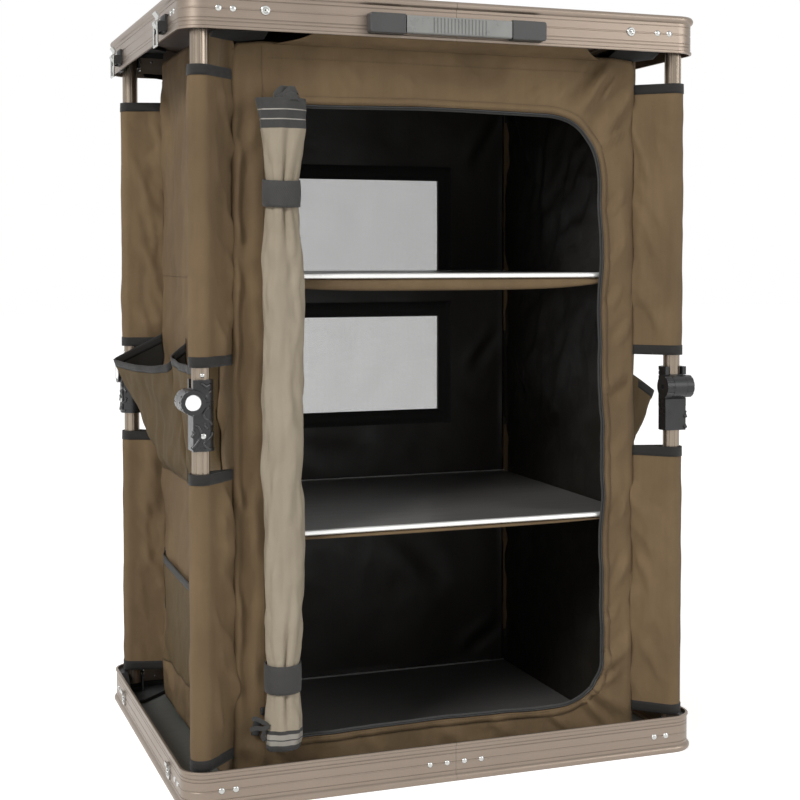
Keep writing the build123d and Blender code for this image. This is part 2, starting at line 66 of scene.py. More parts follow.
def node(material, kind, inputs=(), **attributes):
    """Add one shader node; an input's value is a number, a colour or another node's socket."""
    made = material.node_tree.nodes.new("ShaderNode" + kind)
    for key, value in attributes.items():
        setattr(made, key, value)
    for key, value in dict(inputs).items():
        if isinstance(value, bpy.types.NodeSocket):
            material.node_tree.links.new(value, made.inputs[key])
        else:
            made.inputs[key].default_value = value
    return made


def finish(name, settings):
    """New material with plain values on its shader."""
    material = bpy.data.materials.new(name)
    material.use_nodes = True
    shader = material.node_tree.nodes["Principled BSDF"]
    for key, value in settings.items():
        shader.inputs[key].default_value = value
    return material, shader


def plug(material, shader, **sockets):
    """Join sockets to the shader: base for its colour, rough, bump, alpha or glow."""
    names = {"base": "Base Color", "rough": "Roughness", "bump": "Normal", "alpha": "Alpha",
             "glow": "Emission Strength"}
    for key, socket in sockets.items():
        material.node_tree.links.new(socket, shader.inputs[names[key]])


def object_point(material, scale=(1, 1, 1)):
    """Object coordinates, stretched."""
    where = node(material, "TexCoord")
    return node(material, "Mapping", {"Vector": where.outputs["Object"], "Scale": scale}).outputs[0]


def mottle(material, point, scale, detail=4.0, roughness=0.55):
    """Noise value at a point."""
    return node(material, "TexNoise", {"Vector": point, "Scale": scale, "Detail": detail,
                                       "Roughness": roughness}).outputs[0]


def blend_colours(material, share, first, second):
    """Mix of two colours by a value."""
    mixed = node(material, "Mix", data_type="RGBA")
    for socket, value in (("Factor", share), ("A", first), ("B", second)):
        target = [s for s in mixed.inputs if s.name == socket and s.enabled][0]
        if isinstance(value, bpy.types.NodeSocket):
            material.node_tree.links.new(value, target)
        else:
            target.default_value = value
    return [s for s in mixed.outputs if s.enabled][0]


def mix_values(material, operation, first, second):
    """Arithmetic on two values."""
    return node(material, "Math", {0: first, 1: second}, operation=operation).outputs[0]


def weigh(material, *shares):
    """Sum of values, each given with its weight."""
    total = None
    for value, weight in shares:
        weighed = mix_values(material, "MULTIPLY", value, weight)
        total = weighed if total is None else mix_values(material, "ADD", total, weighed)
    return total


def stretch_values(material, value, low, high, to_low, to_high):
    """Map a value's range onto another."""
    return node(material, "MapRange", {"Value": value, "From Min": low, "From Max": high,
                                       "To Min": to_low, "To Max": to_high}).outputs[0]


def roughness_from(material, value, middle, below, above):
    """Roughness that varies with a value about its middle."""
    return stretch_values(material, value, 0.3, 0.7, middle - below, middle + above)


def relief_from(material, height, strength, distance, under=None):
    """Normal raised by a value, on top of another relief where one is given."""
    inputs = {"Strength": strength, "Distance": distance, "Height": height}
    if under is not None:
        inputs["Normal"] = under
    return node(material, "Bump", inputs).outputs[0]


def rgb(red, green, blue):
    """Colour as read from a screen, 0 to 255, made linear."""
    def linear(c):
        c /= 255
        return c / 12.92 if c < 0.04045 else ((c + 0.055) / 1.055) ** 2.4
    return (linear(red), linear(green), linear(blue), 1.0)


def woven_cloth(name, dark, light, pitch, roughness=0.8, sheen=0.15, relief=0.5):
    """Basket weave of threads on the sheet's own UV map, which is in metres."""
    material, shader = finish(name, {"Roughness": roughness, "Sheen Weight": sheen, "Sheen Roughness": 0.5,
                                     "Specular IOR Level": 0.3})
    flat = node(material, "UVMap").outputs[0]
    bands = [node(material, "TexWave", {"Vector": flat, "Scale": THREAD_WAVE / pitch, "Distortion": 0.4,
                                        "Detail": 1.0, "Detail Scale": 1.5}, bands_direction=way)
             for way in ("X", "Y")]
    over = node(material, "TexChecker", {"Vector": flat, "Scale": 1 / pitch, "Color1": (1, 1, 1, 1),
                                         "Color2": (0, 0, 0, 1)}).outputs["Fac"]
    threads = blend_colours(material, over, bands[0].outputs[0], bands[1].outputs[0])
    place = object_point(material)
    cloudy = mottle(material, place, 7.0, 5.0, 0.6)
    slubs = mottle(material, object_point(material, (60, 60, 6)), 1.0, 3.0)
    tone = weigh(material, (cloudy, 0.62), (slubs, 0.3), (threads, 0.12))
    colour = blend_colours(material, stretch_values(material, tone, 0.3, 0.75, 0.0, 1.0), dark, light)
    weave = relief_from(material, threads, relief, pitch * 0.35)
    rumpled = relief_from(material, mottle(material, place, 20.0), 0.5, 0.006, weave)
    plug(material, shader, base=colour, bump=rumpled)
    return material


def coated_lining(name, dark, light, roughness):
    """Black coating on the inside of the cloth."""
    material, shader = finish(name, {"Specular IOR Level": 0.35})
    place = object_point(material)
    cloudy = mottle(material, place, 5.0, 4.0)
    plug(material, shader, base=blend_colours(material, cloudy, dark, light),
         rough=roughness_from(material, mottle(material, place, 18.0), roughness, 0.08, 0.1),
         bump=relief_from(material, mottle(material, place, 30.0), 0.3, 0.003))
    return material


def webbing(name, dark, light, pitch=0.0016):
    """Ribbed tape: herringbone ribs across the tape on its UV map."""
    material, shader = finish(name, {"Roughness": 0.78, "Sheen Weight": 0.12, "Specular IOR Level": 0.3})
    flat = node(material, "UVMap").outputs[0]
    turned = node(material, "Mapping", {"Vector": flat, "Rotation": (0, 0, radians(24))}).outputs[0]
    ribs = node(material, "TexWave", {"Vector": turned, "Scale": THREAD_WAVE / pitch, "Distortion": 0.8,
                                      "Detail": 1.0}, bands_direction="X").outputs[0]
    fuzz = mottle(material, object_point(material), 90.0, 3.0)
    tone = weigh(material, (ribs, 0.5), (fuzz, 0.5))
    plug(material, shader, base=blend_colours(material, tone, dark, light),
         bump=relief_from(material, ribs, 0.6, 0.0005))
    return material


def drawn_metal(name, dark, light, grain, roughness, metallic=1.0, spread=0.1):
    """Metal with the fine lines that drawing or pressing leaves along one direction."""
    material, shader = finish(name, {"Metallic": metallic, "Specular IOR Level": 0.5})
    lines = mottle(material, object_point(material, grain), 1.0, 3.0)
    cloudy = mottle(material, object_point(material), 14.0, 3.0)
    tone = weigh(material, (lines, 0.6), (cloudy, 0.4))
    plug(material, shader, base=blend_colours(material, tone, dark, light),
         rough=roughness_from(material, tone, roughness, spread, spread),
         bump=relief_from(material, lines, 0.12, 0.0002))
    return material


def moulded_plastic(name, dark, light, roughness, grain=2200.0, relief=0.25):
    """Moulded plastic with a fine spark-eroded grain and slight scuffs."""
    material, shader = finish(name, {"Specular IOR Level": 0.45})
    place = object_point(material)
    cloudy = mottle(material, place, 45.0, 4.0)
    plug(material, shader, base=blend_colours(material, cloudy, dark, light),
         rough=roughness_from(material, cloudy, roughness, 0.07, 0.1),
         bump=relief_from(material, mottle(material, place, grain, 2.0), relief, 0.0002))
    return material


def laminate(name, dark, light, roughness):
    """Board faced with a thin laminate that has a faint lengthwise grain."""
    material, shader = finish(name, {"Specular IOR Level": 0.4})
    fibres = mottle(material, object_point(material, (14, 260, 260)), 1.0, 4.0)
    cloudy = mottle(material, object_point(material), 9.0, 4.0)
    tone = weigh(material, (fibres, 0.55), (cloudy, 0.45))
    plug(material, shader, base=blend_colours(material, tone, dark, light),
         rough=roughness_from(material, tone, roughness, 0.08, 0.08),
         bump=relief_from(material, fibres, 0.15, 0.0003))
    return material


def knitted_net(name, thread_dark, thread_light, pitch, open_share):
    """Fine net: round gaps in a staggered pattern on the UV map."""
    material, shader = finish(name, {"Roughness": 0.75, "Specular IOR Level": 0.25})
    flat = node(material, "UVMap").outputs[0]
    rows = [node(material, "TexWave", {"Vector": flat, "Scale": THREAD_WAVE / pitch}, bands_direction=way)
            for way in ("X", "Y")]
    gaps = mix_values(material, "MULTIPLY", rows[0].outputs[0], rows[1].outputs[0])
    solid = mix_values(material, "LESS_THAN", gaps, 1.0 - open_share - 0.38)
    fuzz = mottle(material, object_point(material), 12.0)
    plug(material, shader, base=blend_colours(material, fuzz, thread_dark, thread_light), alpha=solid)
    return material


OLIVE = woven_cloth("olive_cloth", rgb(90, 73, 52), rgb(122, 101, 73), 0.0009, 0.82, 0.0, 0.6)
# Painted shade: the pockets' olive fabric is given a darker copy, standing for the shade on their bellies
PAINTED_SHADE_CLOTH = woven_cloth("pocket_cloth_painted_shade", rgb(74, 60, 39), rgb(98, 81, 54), 0.0009, 0.8, 0.0, 0.6)
TAUPE = woven_cloth("door_cloth", rgb(132, 121, 104), rgb(158, 147, 129), 0.0008, 0.75, 0.0, 0.45)
LINING = coated_lining("black_lining", rgb(20, 18, 15), rgb(36, 32, 27), 0.5)
# Black gusset cloth, made darker than the lining as painted shade of the gap under the worktop's rail
GUSSET_PAINTED_SHADE = coated_lining("black_gusset_painted_shade", rgb(7, 7, 6), rgb(16, 15, 13), 0.75)
NET = knitted_net("grey_net", rgb(166, 164, 160), rgb(180, 178, 174), 0.0012, 0.46)
HEM = webbing("hem_tape", rgb(20, 19, 18), rgb(38, 36, 34))
TIE = webbing("tie_webbing", rgb(44, 44, 43), rgb(68, 67, 65))
ZIP_TAPE = webbing("zip_tape", rgb(40, 40, 40), rgb(66, 65, 63), 0.0009)
ZIP_COIL = moulded_plastic("zip_coil", rgb(20, 20, 21), rgb(38, 38, 39), 0.4, 900.0)
# Painted highlight: the zip's dark coil drawn light grey where it glints on the rolled door
ZIP_COIL_PAINTED_HIGHLIGHT = moulded_plastic("zip_coil_painted_highlight", rgb(120, 116, 108), rgb(150, 145, 136), 0.45, 900.0)
THREAD = moulded_plastic("seam_thread", rgb(78, 64, 46), rgb(100, 84, 62), 0.7, 600.0)
RAIL = drawn_metal("anodised_rail", rgb(126, 113, 101), rgb(150, 137, 125), (3, 3, 1400), 0.4, 0.8)
TUBE = drawn_metal("anodised_tube", rgb(122, 110, 97), rgb(151, 139, 125), (900, 900, 4), 0.3, 0.9)
MILL = drawn_metal("plain_aluminium", rgb(170, 170, 168), rgb(196, 196, 194), (3, 3, 900), 0.4)
STEEL = drawn_metal("bright_steel", rgb(160, 160, 158), rgb(204, 204, 201), (300, 300, 300), 0.26, 1.0, 0.06)
ROD = drawn_metal("bright_rod", rgb(226, 226, 222), rgb(250, 250, 248), (4, 600, 600), 0.3, 0.55, 0.06)
CHROME = drawn_metal("polished_button", rgb(232, 232, 232), rgb(248, 248, 248), (40, 40, 40), 0.12, 0.9, 0.04)
BLACK = moulded_plastic("black_plastic", rgb(20, 20, 20), rgb(34, 34, 34), 0.5)
KNUCKLE = moulded_plastic("knuckle_plastic", rgb(14, 14, 15), rgb(34, 34, 36), 0.3, 1500.0, 0.35)
# Painted highlight: the ribs are the elbow's own black plastic, coloured lighter to show their glints
RIB_PAINTED_HIGHLIGHT = moulded_plastic("raised_ribs_painted_highlight", rgb(24, 24, 25), rgb(48, 48, 48), 0.24, 1500.0, 0.3)
CAP = moulded_plastic("cap_plastic", rgb(50, 50, 50), rgb(64, 64, 63), 0.42)
GRIP = moulded_plastic("grip_plastic", rgb(112, 112, 110), rgb(136, 136, 133), 0.3, 1800.0, 0.1)
WORKTOP = laminate("worktop_board", rgb(66, 52, 42), rgb(88, 71, 58), 0.55)
TRAY_BOARD = laminate("base_board", rgb(66, 67, 64), rgb(84, 85, 81), 0.5)
SHELF = laminate("shelf_board", rgb(80, 79, 78), rgb(104, 102, 100), 0.36)

finish_of_slot = {"anodised_rail": RAIL, "anodised_tube": TUBE, "plain_aluminium": MILL,
                  "black_plastic": BLACK, "knuckle_plastic": KNUCKLE, "cap_plastic": CAP,
                  "grip_plastic": GRIP, "bright_steel": STEEL, "chromed_button": CHROME,
                  "worktop_board": WORKTOP, "base_board": TRAY_BOARD, "shelf_board": SHELF,
                  "olive_cloth": OLIVE, "door_cloth": TAUPE, "black_webbing": HEM, "grey_net": NET}
for part in frame["record"]["subparts"]:
    carried = frame["nodes"][part["node"]]
    material = finish_of_slot[part["material_slot"]]
    if part["node"].startswith("shelf_rods"):
        material = ROD
    elif part["node"] == "floor_board":
        material = SHELF
    for slot in carried.material_slots:
        slot.material = material


# Making pieces

def piece(bm, name, materials, body):
    """Turn a bmesh into a smooth piece that rides on a body."""
    for face in bm.faces:
        face.smooth = True
    mesh = bpy.data.meshes.new(name)
    bm.to_mesh(mesh)
    bm.free()
    for material in materials:
        mesh.materials.append(material)
    made = bpy.data.objects.new(name, mesh)
    scene.collection.objects.link(made)
    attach(made, body)
    return made


def fold_down(made):
    """Give a piece its own copy of its mesh."""
    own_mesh(made)
    return made


def cut_sheet(across, along, flat, place, joined=False):
    """Flat cut of cloth in square cells, with its UV map in metres, laid where place(u, v) says."""
    bm = bmesh.new()
    uv_map = bm.loops.layers.uv.new("UVMap")
    bmesh.ops.create_grid(bm, x_segments=across, y_segments=along, size=0.5)
    for face in bm.faces:
        for loop in face.loops:
            loop[uv_map].uv = ((loop.vert.co.x + 0.5) * flat[0] * MM, (loop.vert.co.y + 0.5) * flat[1] * MM)
    for vert in bm.verts:
        vert.co = Vector(place(vert.co.x + 0.5, vert.co.y + 0.5)) * MM
    if joined:
        bmesh.ops.remove_doubles(bm, verts=bm.verts, dist=1e-5)
    return bm


def thicken(made, thickness, inwards=True, lined=False):
    """Give a sheet its thickness; a lined one has its second material on the inner side."""
    solid = made.modifiers.new("thickness", "SOLIDIFY")
    solid.thickness = thickness * MM
    solid.offset = -1 if inwards else 1
    if lined:
        solid.material_offset = 1
    return made


def along(points, share):
    """Point at a share of the length of a line through points."""
    steps = [dist(a, b) for a, b in zip(points, points[1:])]
    left = share * sum(steps)
    for (a, b), step in zip(zip(points, points[1:]), steps):
        if left <= step or b is points[-1]:
            t = min(left / step, 1.0) if step else 0.0
            return (a[0] + (b[0] - a[0]) * t, a[1] + (b[1] - a[1]) * t)
        left -= step


def length_of(points):
    """Length of a line through points."""
    return sum(dist(a, b) for a, b in zip(points, points[1:]))


def creases(x, z, folds):
    """Height of tension folds at a point: each is a ridge with a hollow beside it."""
    height = 0.0
    for x0, z0, x1, z1, width, rise in folds:
        dx, dz = x1 - x0, z1 - z0
        size = hypot(dx, dz)
        t = ((x - x0) * dx + (z - z0) * dz) / size ** 2
        if -0.4 < t < 1.4:
            off = ((x - x0) * dz - (z - z0) * dx) / size
            fade = exp(-((t - 0.5) / 0.42) ** 4)
            height += rise * fade * (exp(-(off / width) ** 2) - 0.7 * exp(-((off - 1.7 * width) / width) ** 2))
    return height


def ripple(x, y, z, size, height):
    """Soft unevenness of hanging cloth, in swells of about a size."""
    return height * noise.noise(Vector((x, y, z)) / size)


def uneven(*place):
    """Smooth random value at a place."""
    return noise.noise(Vector(place))


def edge_share(half_width, across, z):
    """0 along a panel's side edges and foot, rising to 1 within a seam's width."""
    seam = 9.0
    return max(0.0, min(1.0, (half_width - abs(across)) / seam, (z - BODY_FOOT) / seam))


def facing(at, way, axis="Z", up="Y"):
    """Matrix that moves a shape to a place and turns its axis along a direction."""
    turn = Vector(way).to_track_quat(axis, up).to_matrix().to_4x4()
    return Matrix.Translation(Vector(at) * MM) @ turn


# Front of the body, cut round the door

def corner_arc(centre_x, centre_z, radius_x, radius_z, power, start, end, steps=14):
    """Part of a rounded corner, squarer than a circle where power is over 2."""
    points = []
    for k in range(steps + 1):
        angle = radians(start + (end - start) * k / steps)
        c, s = cos(angle), sin(angle)
        points.append((centre_x + radius_x * abs(c) ** (2 / power) * (1 if c > 0 else -1),
                       centre_z + radius_z * abs(s) ** (2 / power) * (1 if s > 0 else -1)))
    return points


HINGE_X, SILL_Z, HEAD_Z = -178.0, 57.0, 738.0
# The door's two rounded corners: centre, radii and squareness
TOP_ARC = (118.0, 650.0, 76.0, 88.0, 2.5)
FOOT_ARC = (140.0, 119.0, 58.0, 62.0, 2.2)
right_edge = [(199.5 - 6.0 * k / 40, 125.0 + 520.0 * k / 40) for k in range(1, 40)]
head_edge = [(112.0 - 290.0 * k / 24, HEAD_Z) for k in range(25)]
sill_edge = [(HINGE_X + 312.0 * k / 24, SILL_Z) for k in range(25)]
door_sides = [corner_arc(*FOOT_ARC, -45, 0) + right_edge + corner_arc(*TOP_ARC, 0, 45),
              corner_arc(*TOP_ARC, 45, 90) + head_edge,
              [(HINGE_X, HEAD_Z), (HINGE_X, SILL_Z)],
              sill_edge + corner_arc(*FOOT_ARC, -90, -45)]
door_sides = [[(x + (1.5 * sin(z / 41) + 0.8 * sin(z / 15 + 1) if x > 100 else 0.0),
                z + (1.0 * sin(x / 47 + 2) if abs(z - 398) > 250 else 0.0)) for x, z in side]
              for side in door_sides]
door_loop = [point for side in door_sides for point in side]
door_loop.append(door_loop[0])
panel_sides = [[(BODY_X, BODY_FOOT), (BODY_X, 792), (233, 801)],
               [(233, 801), (208, 804), (-206, 803), (-233, 800)],
               [(-233, 800), (-BODY_X, 792), (-BODY_X, BODY_FOOT)],
               [(-BODY_X, BODY_FOOT), (BODY_X, BODY_FOOT)]]

# Folds that tension draws, each from x, z to x, z, with its width and its rise, a hollow below 0
FRONT_FOLDS = [(206, 800, 163, 737, 7, 5.5), (238, 774, 189, 706, 8, 4.5), (119, 768, 106, 750, 4, 1.6),
               (150, 775, 140, 752, 4, 1.4), (227, 722, 189, 701, 5, 2.4), (223, 540, 205, 512, 5, 2.2),
               (236, 434, 204, 410, 7, -3.4), (233, 372, 210, 340, 6, 1.8), (234, 228, 214, 189, 5, 2.4),
               (222, 170, 205, 149, 4, 1.8), (240, 130, 199, 96, 7, 2.8), (180, 77, 236, 38, 6, 3.4),
               (172, 68, 204, 28, 5, 2.4), (132, 50, 150, 30, 4, 1.7), (60, 52, 84, 24, 7, 1.5),
               (-90, 50, -70, 22, 8, 1.6), (-214, 712, -238, 664, 8, 3.2), (-217, 600, -236, 520, 9, 2.4),
               (-216, 494, -234, 424, 8, -3.4), (-222, 330, -214, 250, 8, 2.4), (-224, 168, -214, 112, 6, 2.2),
               (-232, 60, -200, 30, 7, 2.4), (20, 795, 40, 762, 9, 1.3), (-120, 790, -96, 756, 9, 1.3),
               (-225, 730, -226, 420, 6, -3.0), (-224, 400, -223, 70, 6, -2.6), (218, 680, 226, 560, 8, 1.8),
               (216, 330, 226, 250, 7, 1.8), (-60, 796, -34, 752, 10, 1.4), (90, 798, 60, 750, 10, 1.4),
               (0, 50, 30, 20, 8, 1.3), (-225, 800, -225, 20, 8, -2.0), (216, 784, 196, 752, 4, 2.6),
               (224, 650, 206, 622, 4, 2.2), (226, 596, 208, 566, 4, 1.8), (230, 300, 212, 262, 4, 2.4),
               (236, 500, 212, 470, 5, 2.6), (226, 96, 190, 72, 4, 2.4), (-238, 620, -220, 560, 5, 2.8),
               (-236, 330, -220, 290, 5, 2.8), (-234, 240, -220, 190, 5, -2.4), (196, 62, 226, 26, 4, 2.0)]


def front_depth(x, z):
    """How far the front panel stands out from its flat plane."""
    swell = 1.8 + ripple(x + 0.3 * z, 0, z, 70, 3.8) + ripple(x + 0.4 * z, 5, z, 24, 2.1)
    rolled = 4.0 * (1 - min(1.0, (BODY_X - abs(x)) / 5.0)) ** 2
    return max(-1.8, edge_share(BODY_X, x, z) * (swell + 1.65 * creases(x, z, FRONT_FOLDS))) - rolled


def front_place(u, v):
    """Front panel between the door's edge and its own border."""
    side = min(int(u * 4), 3)
    a, b = along(door_sides[side], u * 4 - side), along(panel_sides[side], u * 4 - side)
    x, z = a[0] + (b[0] - a[0]) * v, a[1] + (b[1] - a[1]) * v
    return x, -BODY_Y - front_depth(x, z), z


def metric_uv(bm):
    """Lay the UV map on the frame's x and z, in metres."""
    uv_map = bm.loops.layers.uv.active
    for face in bm.faces:
        for loop in face.loops:
            loop[uv_map].uv = (loop.vert.co.x, loop.vert.co.z)


def turn_outwards(bm, centre=(0, 0, 400)):
    """Turn a sheet's faces away from a point."""
    bmesh.ops.recalc_face_normals(bm, faces=bm.faces)
    middle = Vector(centre) * MM
    if sum(face.normal.dot(face.calc_center_median() - middle) for face in bm.faces) < 0:
        bmesh.ops.reverse_faces(bm, faces=bm.faces)


def cloth(bm, name, materials=(OLIVE, LINING), thickness=0.8, body="base",
          centre=(0, 0, 400)):
    """Finished sheet of cloth: turned outwards, thick and lined, with a mesh of its own."""
    turn_outwards(bm, centre)
    made = piece(bm, name, materials, body)
    return fold_down(thicken(made, thickness, lined=len(materials) > 1))


bm = cut_sheet(440, 22, (2 * BODY_X, BODY_TOP - BODY_FOOT), front_place, joined=True)
metric_uv(bm)
front_cloth = cloth(bm, "front_cloth")
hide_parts("front_panel")


def beside_door(u, out):
    """Point at a distance outside the door's edge."""
    x, z = along(door_loop, u)
    ahead, behind = along(door_loop, min(u + 0.003, 1.0)), along(door_loop, max(u - 0.003, 0.0))
    dx, dz = ahead[0] - behind[0], ahead[1] - behind[1]
    size = hypot(dx, dz)
    return x + dz / size * out, z - dx / size * out


def door_strip(inner, outer, lift_in, lift_out):
    """Strip along the door's edge, from inner to outer millimetres outside it."""
    def place(u, v):
        x, z = beside_door(u, inner + (outer - inner) * v)
        return x, -BODY_Y - front_depth(x, z) - (lift_in + (lift_out - lift_in) * v), z

    return cut_sheet(460, 1, (length_of(door_loop), abs(outer - inner)), place, joined=True)


def rope(bm, points, radius, sides=6, closed=False):
    """Thin round line through points."""
    rings = []
    for k, point in enumerate(points):
        before = points[k - 1] if k or closed else points[k]
        after = points[(k + 1) % len(points)] if closed or k + 1 < len(points) else points[k]
        way = (Vector(after) - Vector(before)).normalized()
        ring = bmesh.ops.create_circle(bm, segments=sides, radius=radius * MM)["verts"]
        bmesh.ops.transform(bm, matrix=facing(point, way), verts=ring)
        rings.append(list({edge for vert in ring for edge in vert.link_edges}))
    for first, second in zip(rings, rings[1:] + (rings[:1] if closed else [])):
        bmesh.ops.bridge_loops(bm, edges=first + second)
    if not closed:
        bmesh.ops.holes_fill(bm, edges=bm.edges)
    bmesh.ops.recalc_face_normals(bm, faces=bm.faces)


STITCH_L, STITCH_W = 2.6, 0.42


def stitch_row(bm, points, pitch):
    """Row of stitches along points, each a small spindle."""
    marks = [0.0]
    for a, b in zip(points, points[1:]):
        marks.append(marks[-1] + (Vector(b) - Vector(a)).length)
    count = max(2, int(marks[-1] / pitch))
    index = 0
    for k in range(count):
        here = (k + 0.5) / count * marks[-1]
        while marks[index + 1] < here:
            index += 1
        a, b = Vector(points[index]), Vector(points[index + 1])
        spot = a + (b - a) * ((here - marks[index]) / (marks[index + 1] - marks[index]))
        verts = bmesh.ops.create_icosphere(bm, subdivisions=1, radius=0.5 * MM)["verts"]
        size = Matrix.Diagonal((STITCH_L, STITCH_W * 2, STITCH_W * 1.6, 1))
        bmesh.ops.transform(bm, matrix=facing(spot, b - a, "X", "Z") @ size, verts=verts)


def sewn(name, rows, pitch=3.6):
    """Stitches along several rows."""
    bm = bmesh.new()
    for row in rows:
        stitch_row(bm, row, pitch)
    return fold_down(piece(bm, name, [THREAD], "base"))


def ring_line(out, lift, steps=300):
    """Points along the door's edge at a distance outside it."""
    points = [beside_door(k / steps, out) for k in range(steps + 1)]
    return [(x, -BODY_Y - front_depth(x, z) - lift, z) for x, z in points]


# Zip round the door: the tape's edge, the coil, the binding outside it and its seam
bm = door_strip(-3.4, 0.5, -0.6, 0.5)
zip_tape = cloth(bm, "zip_tape", [ZIP_TAPE], 0.7)
bm = bmesh.new()
rope(bm, ring_line(-0.4, 0.9, 420)[:-1], 1.05, 6, closed=True)
zip_coil = fold_down(piece(bm, "zip_coil", [ZIP_COIL], "base"))
bm = door_strip(0.8, 9.4, 0.8, 0.35)
binding = cloth(bm, "door_binding", [OLIVE], 0.7)
seam = sewn("door_seam", [ring_line(9.7, 0.3), ring_line(2.8, 0.9)], pitch=3.4)
for made in (zip_tape, zip_coil):
    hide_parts("door_zip")


# Back, sides and roof

def warped(value, marks):
    """Spread 0 to 1 over marks, each (share, place)."""
    for (s0, p0), (s1, p1) in zip(marks, marks[1:]):
        if value <= s1 + 1e-9:
            return p0 + (p1 - p0) * (value - s0) / (s1 - s0)
    return marks[-1][1]


WINDOW_X = 140.0
WINDOW_LEVELS = ((365.0, 495.0), (554.0, 680.0))
WINDOW_CORNERS = ((1, -1), (1, 1), (-1, 1), (-1, -1), (1, -1))
BORDER_W = 19.0
# The back's cells: share of the sheet, place on the back
back_x = ((0.0, -BODY_X), (0.2, -WINDOW_X), (0.8, WINDOW_X), (1.0, BODY_X))
back_z = ((0.0, BODY_FOOT), (0.4, 365.0), (0.6, 495.0), (0.7, 554.0), (0.9, 680.0), (1.0, BODY_TOP))
BACK_FOLDS = [(-236, 770, -190, 700, 9, 3.0), (236, 770, 190, 700, 9, 3.0), (-236, 60, -180, 20, 9, 2.6),
              (236, 60, 180, 20, 9, 2.6), (-200, 350, 60, 300, 16, 2.0), (60, 220, 160, 120, 16, 2.0),
              (-150, 160, -60, 60, 16, 2.0), (232, 470, 190, 420, 8, 2.4), (-232, 470, -190, 420, 8, 2.4)]


def back_depth(x, z):
    """How far the back panel stands out."""
    swell = 1.4 + ripple(x, 9, z, 80, 2.0) + ripple(x, 11, z, 28, 0.5)
    return edge_share(BODY_X, x, z) * (swell + creases(x, z, BACK_FOLDS))


def back_place(u, v):
    """Back panel: its cells line up with the windows' edges."""
    x, z = warped(u, back_x), warped(v, back_z)
    return x, BODY_Y + back_depth(x, z), z


bm = cut_sheet(120, 200, (2 * BODY_X, BODY_TOP - BODY_FOOT), back_place)
metric_uv(bm)
openings = [face for face in bm.faces
            if abs(face.calc_center_median().x) < WINDOW_X * MM
            and any(low * MM < face.calc_center_median().z < high * MM for low, high in WINDOW_LEVELS)]
bmesh.ops.delete(bm, geom=openings, context="FACES")
back_cloth = cloth(bm, "back_cloth")
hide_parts("back_panel")

nets, borders = [], []
for number, (low, high) in enumerate(WINDOW_LEVELS):
    half_x, half_z, middle = WINDOW_X + 7, (high - low) / 2 + 7, (low + high) / 2

    def net_place(u, v):
        x, z = (2 * u - 1) * half_x, middle + (2 * v - 1) * half_z
        slack = (1 - (2 * u - 1) ** 2) * (1 - (2 * v - 1) ** 2)
        return x, BODY_Y - 1.6 - slack * (2.0 + ripple(x, 3, z, 40, 2.5)), z

    net = cloth(cut_sheet(60, 30, (2 * half_x, 2 * half_z), net_place), f"window_net_{number + 1}", [NET],
                0.3)
    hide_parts("window_mesh")
    nets.append(net)
    half_w, half_h = WINDOW_X - 1, (high - low) / 2 - 1
    for side_y, face_y in ((-1, BODY_Y - 2.6), (1, BODY_Y + 0.6)):
        def border_place(u, v):
            side = min(int(u * 4), 3)
            t, grow = u * 4 - side, BORDER_W * v
            (xa, za), (xb, zb) = WINDOW_CORNERS[side], WINDOW_CORNERS[side + 1]
            x = (half_w + grow) * (xa + (xb - xa) * t)
            z = middle + (half_h + grow) * (za + (zb - za) * t)
            return x, face_y + (back_depth(x, z) if side_y > 0 else 0.0), z

        bm = cut_sheet(160, 2, (900, BORDER_W), border_place, joined=True)
        metric_uv(bm)
        turn_outwards(bm, (0, side_y * -1000 + BODY_Y, middle))
        label = f"window_border_{number + 1}_{'out' if side_y > 0 else 'in'}"
        borders.append(fold_down(thicken(piece(bm, label, [HEM], "base"), 0.7, inwards=False)))

# Folds of a side wall, from y, z to y, z
LEFT_FOLDS = [(-176, 780, -120, 700, 9, 3.0), (176, 780, 120, 690, 9, 3.0), (-178, 450, -140, 380, 8, 3.0),
              (172, 445, 130, 380, 9, 3.0), (-180, 60, -120, 20, 8, 2.4), (178, 70, 110, 20, 9, 2.4),
              (-60, 640, 60, 600, 14, 1.6), (-120, 260, 20, 230, 12, 1.6), (60, 760, 90, 640, 10, 1.8)]


def side_depth(y, z):
    """How far a side panel stands out."""
    rolled = 4.0 * (1 - min(1.0, (BODY_Y - abs(y)) / 5.0)) ** 2
    swell = 2.4 + ripple(20, y + 0.3 * z, z, 74, 5.2) + ripple(22, y + 0.4 * z, z, 27, 2.4)
    return max(-0.4, edge_share(BODY_Y, y, z) * (swell + 1.8 * creases(y, z, LEFT_FOLDS))) - rolled


def side_place(side):
    """Side panel: it rises into the worktop's tray between the posts."""
    def place(u, v):
        y = (2 * u - 1) * BODY_Y
        shoulder = min(1.0, max(0.0, (BODY_Y - abs(y)) / 16.0))
        top = 799.0 + (SIDE_TOP - 799.0) * shoulder ** 0.5
        z = BODY_FOOT + (top - BODY_FOOT) * v
        return side * (BODY_X + side_depth(y, z)), y, z
    return place


for side, label in ((-1, "left"), (1, "right")):
    bm = cut_sheet(110, 180, (2 * BODY_Y, SIDE_TOP - BODY_FOOT), side_place(side))
    cloth(bm, f"{label}_cloth")
    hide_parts("side_panels")


def roof_place(u, v):
    """Roof: hung from its four edges, with a slack middle."""
    x, y = (2 * u - 1) * (BODY_X - 1.2), (2 * v - 1) * (BODY_Y - 1.2)
    slack = (1 - (2 * u - 1) ** 4) * (1 - (2 * v - 1) ** 4)
    return x, y, BODY_TOP - 2.4 - slack * 5.0 + ripple(x, y, 0, 90, 2.0) * slack


bm = cut_sheet(90, 80, (2 * BODY_X, 2 * BODY_Y), roof_place)
roof = cloth(bm, "roof_cloth")
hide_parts("roof_panel")


# The door, rolled up and tied beside its hinge seam

ROLL_X, ROLL_Y = -190.0, -209.5
ROLL_TURNS, ROLL_CORE = 4.85, 0.19
ROLL_FOOT, DOOR_W, DOOR_H = 51.5, 374.0, 690.0
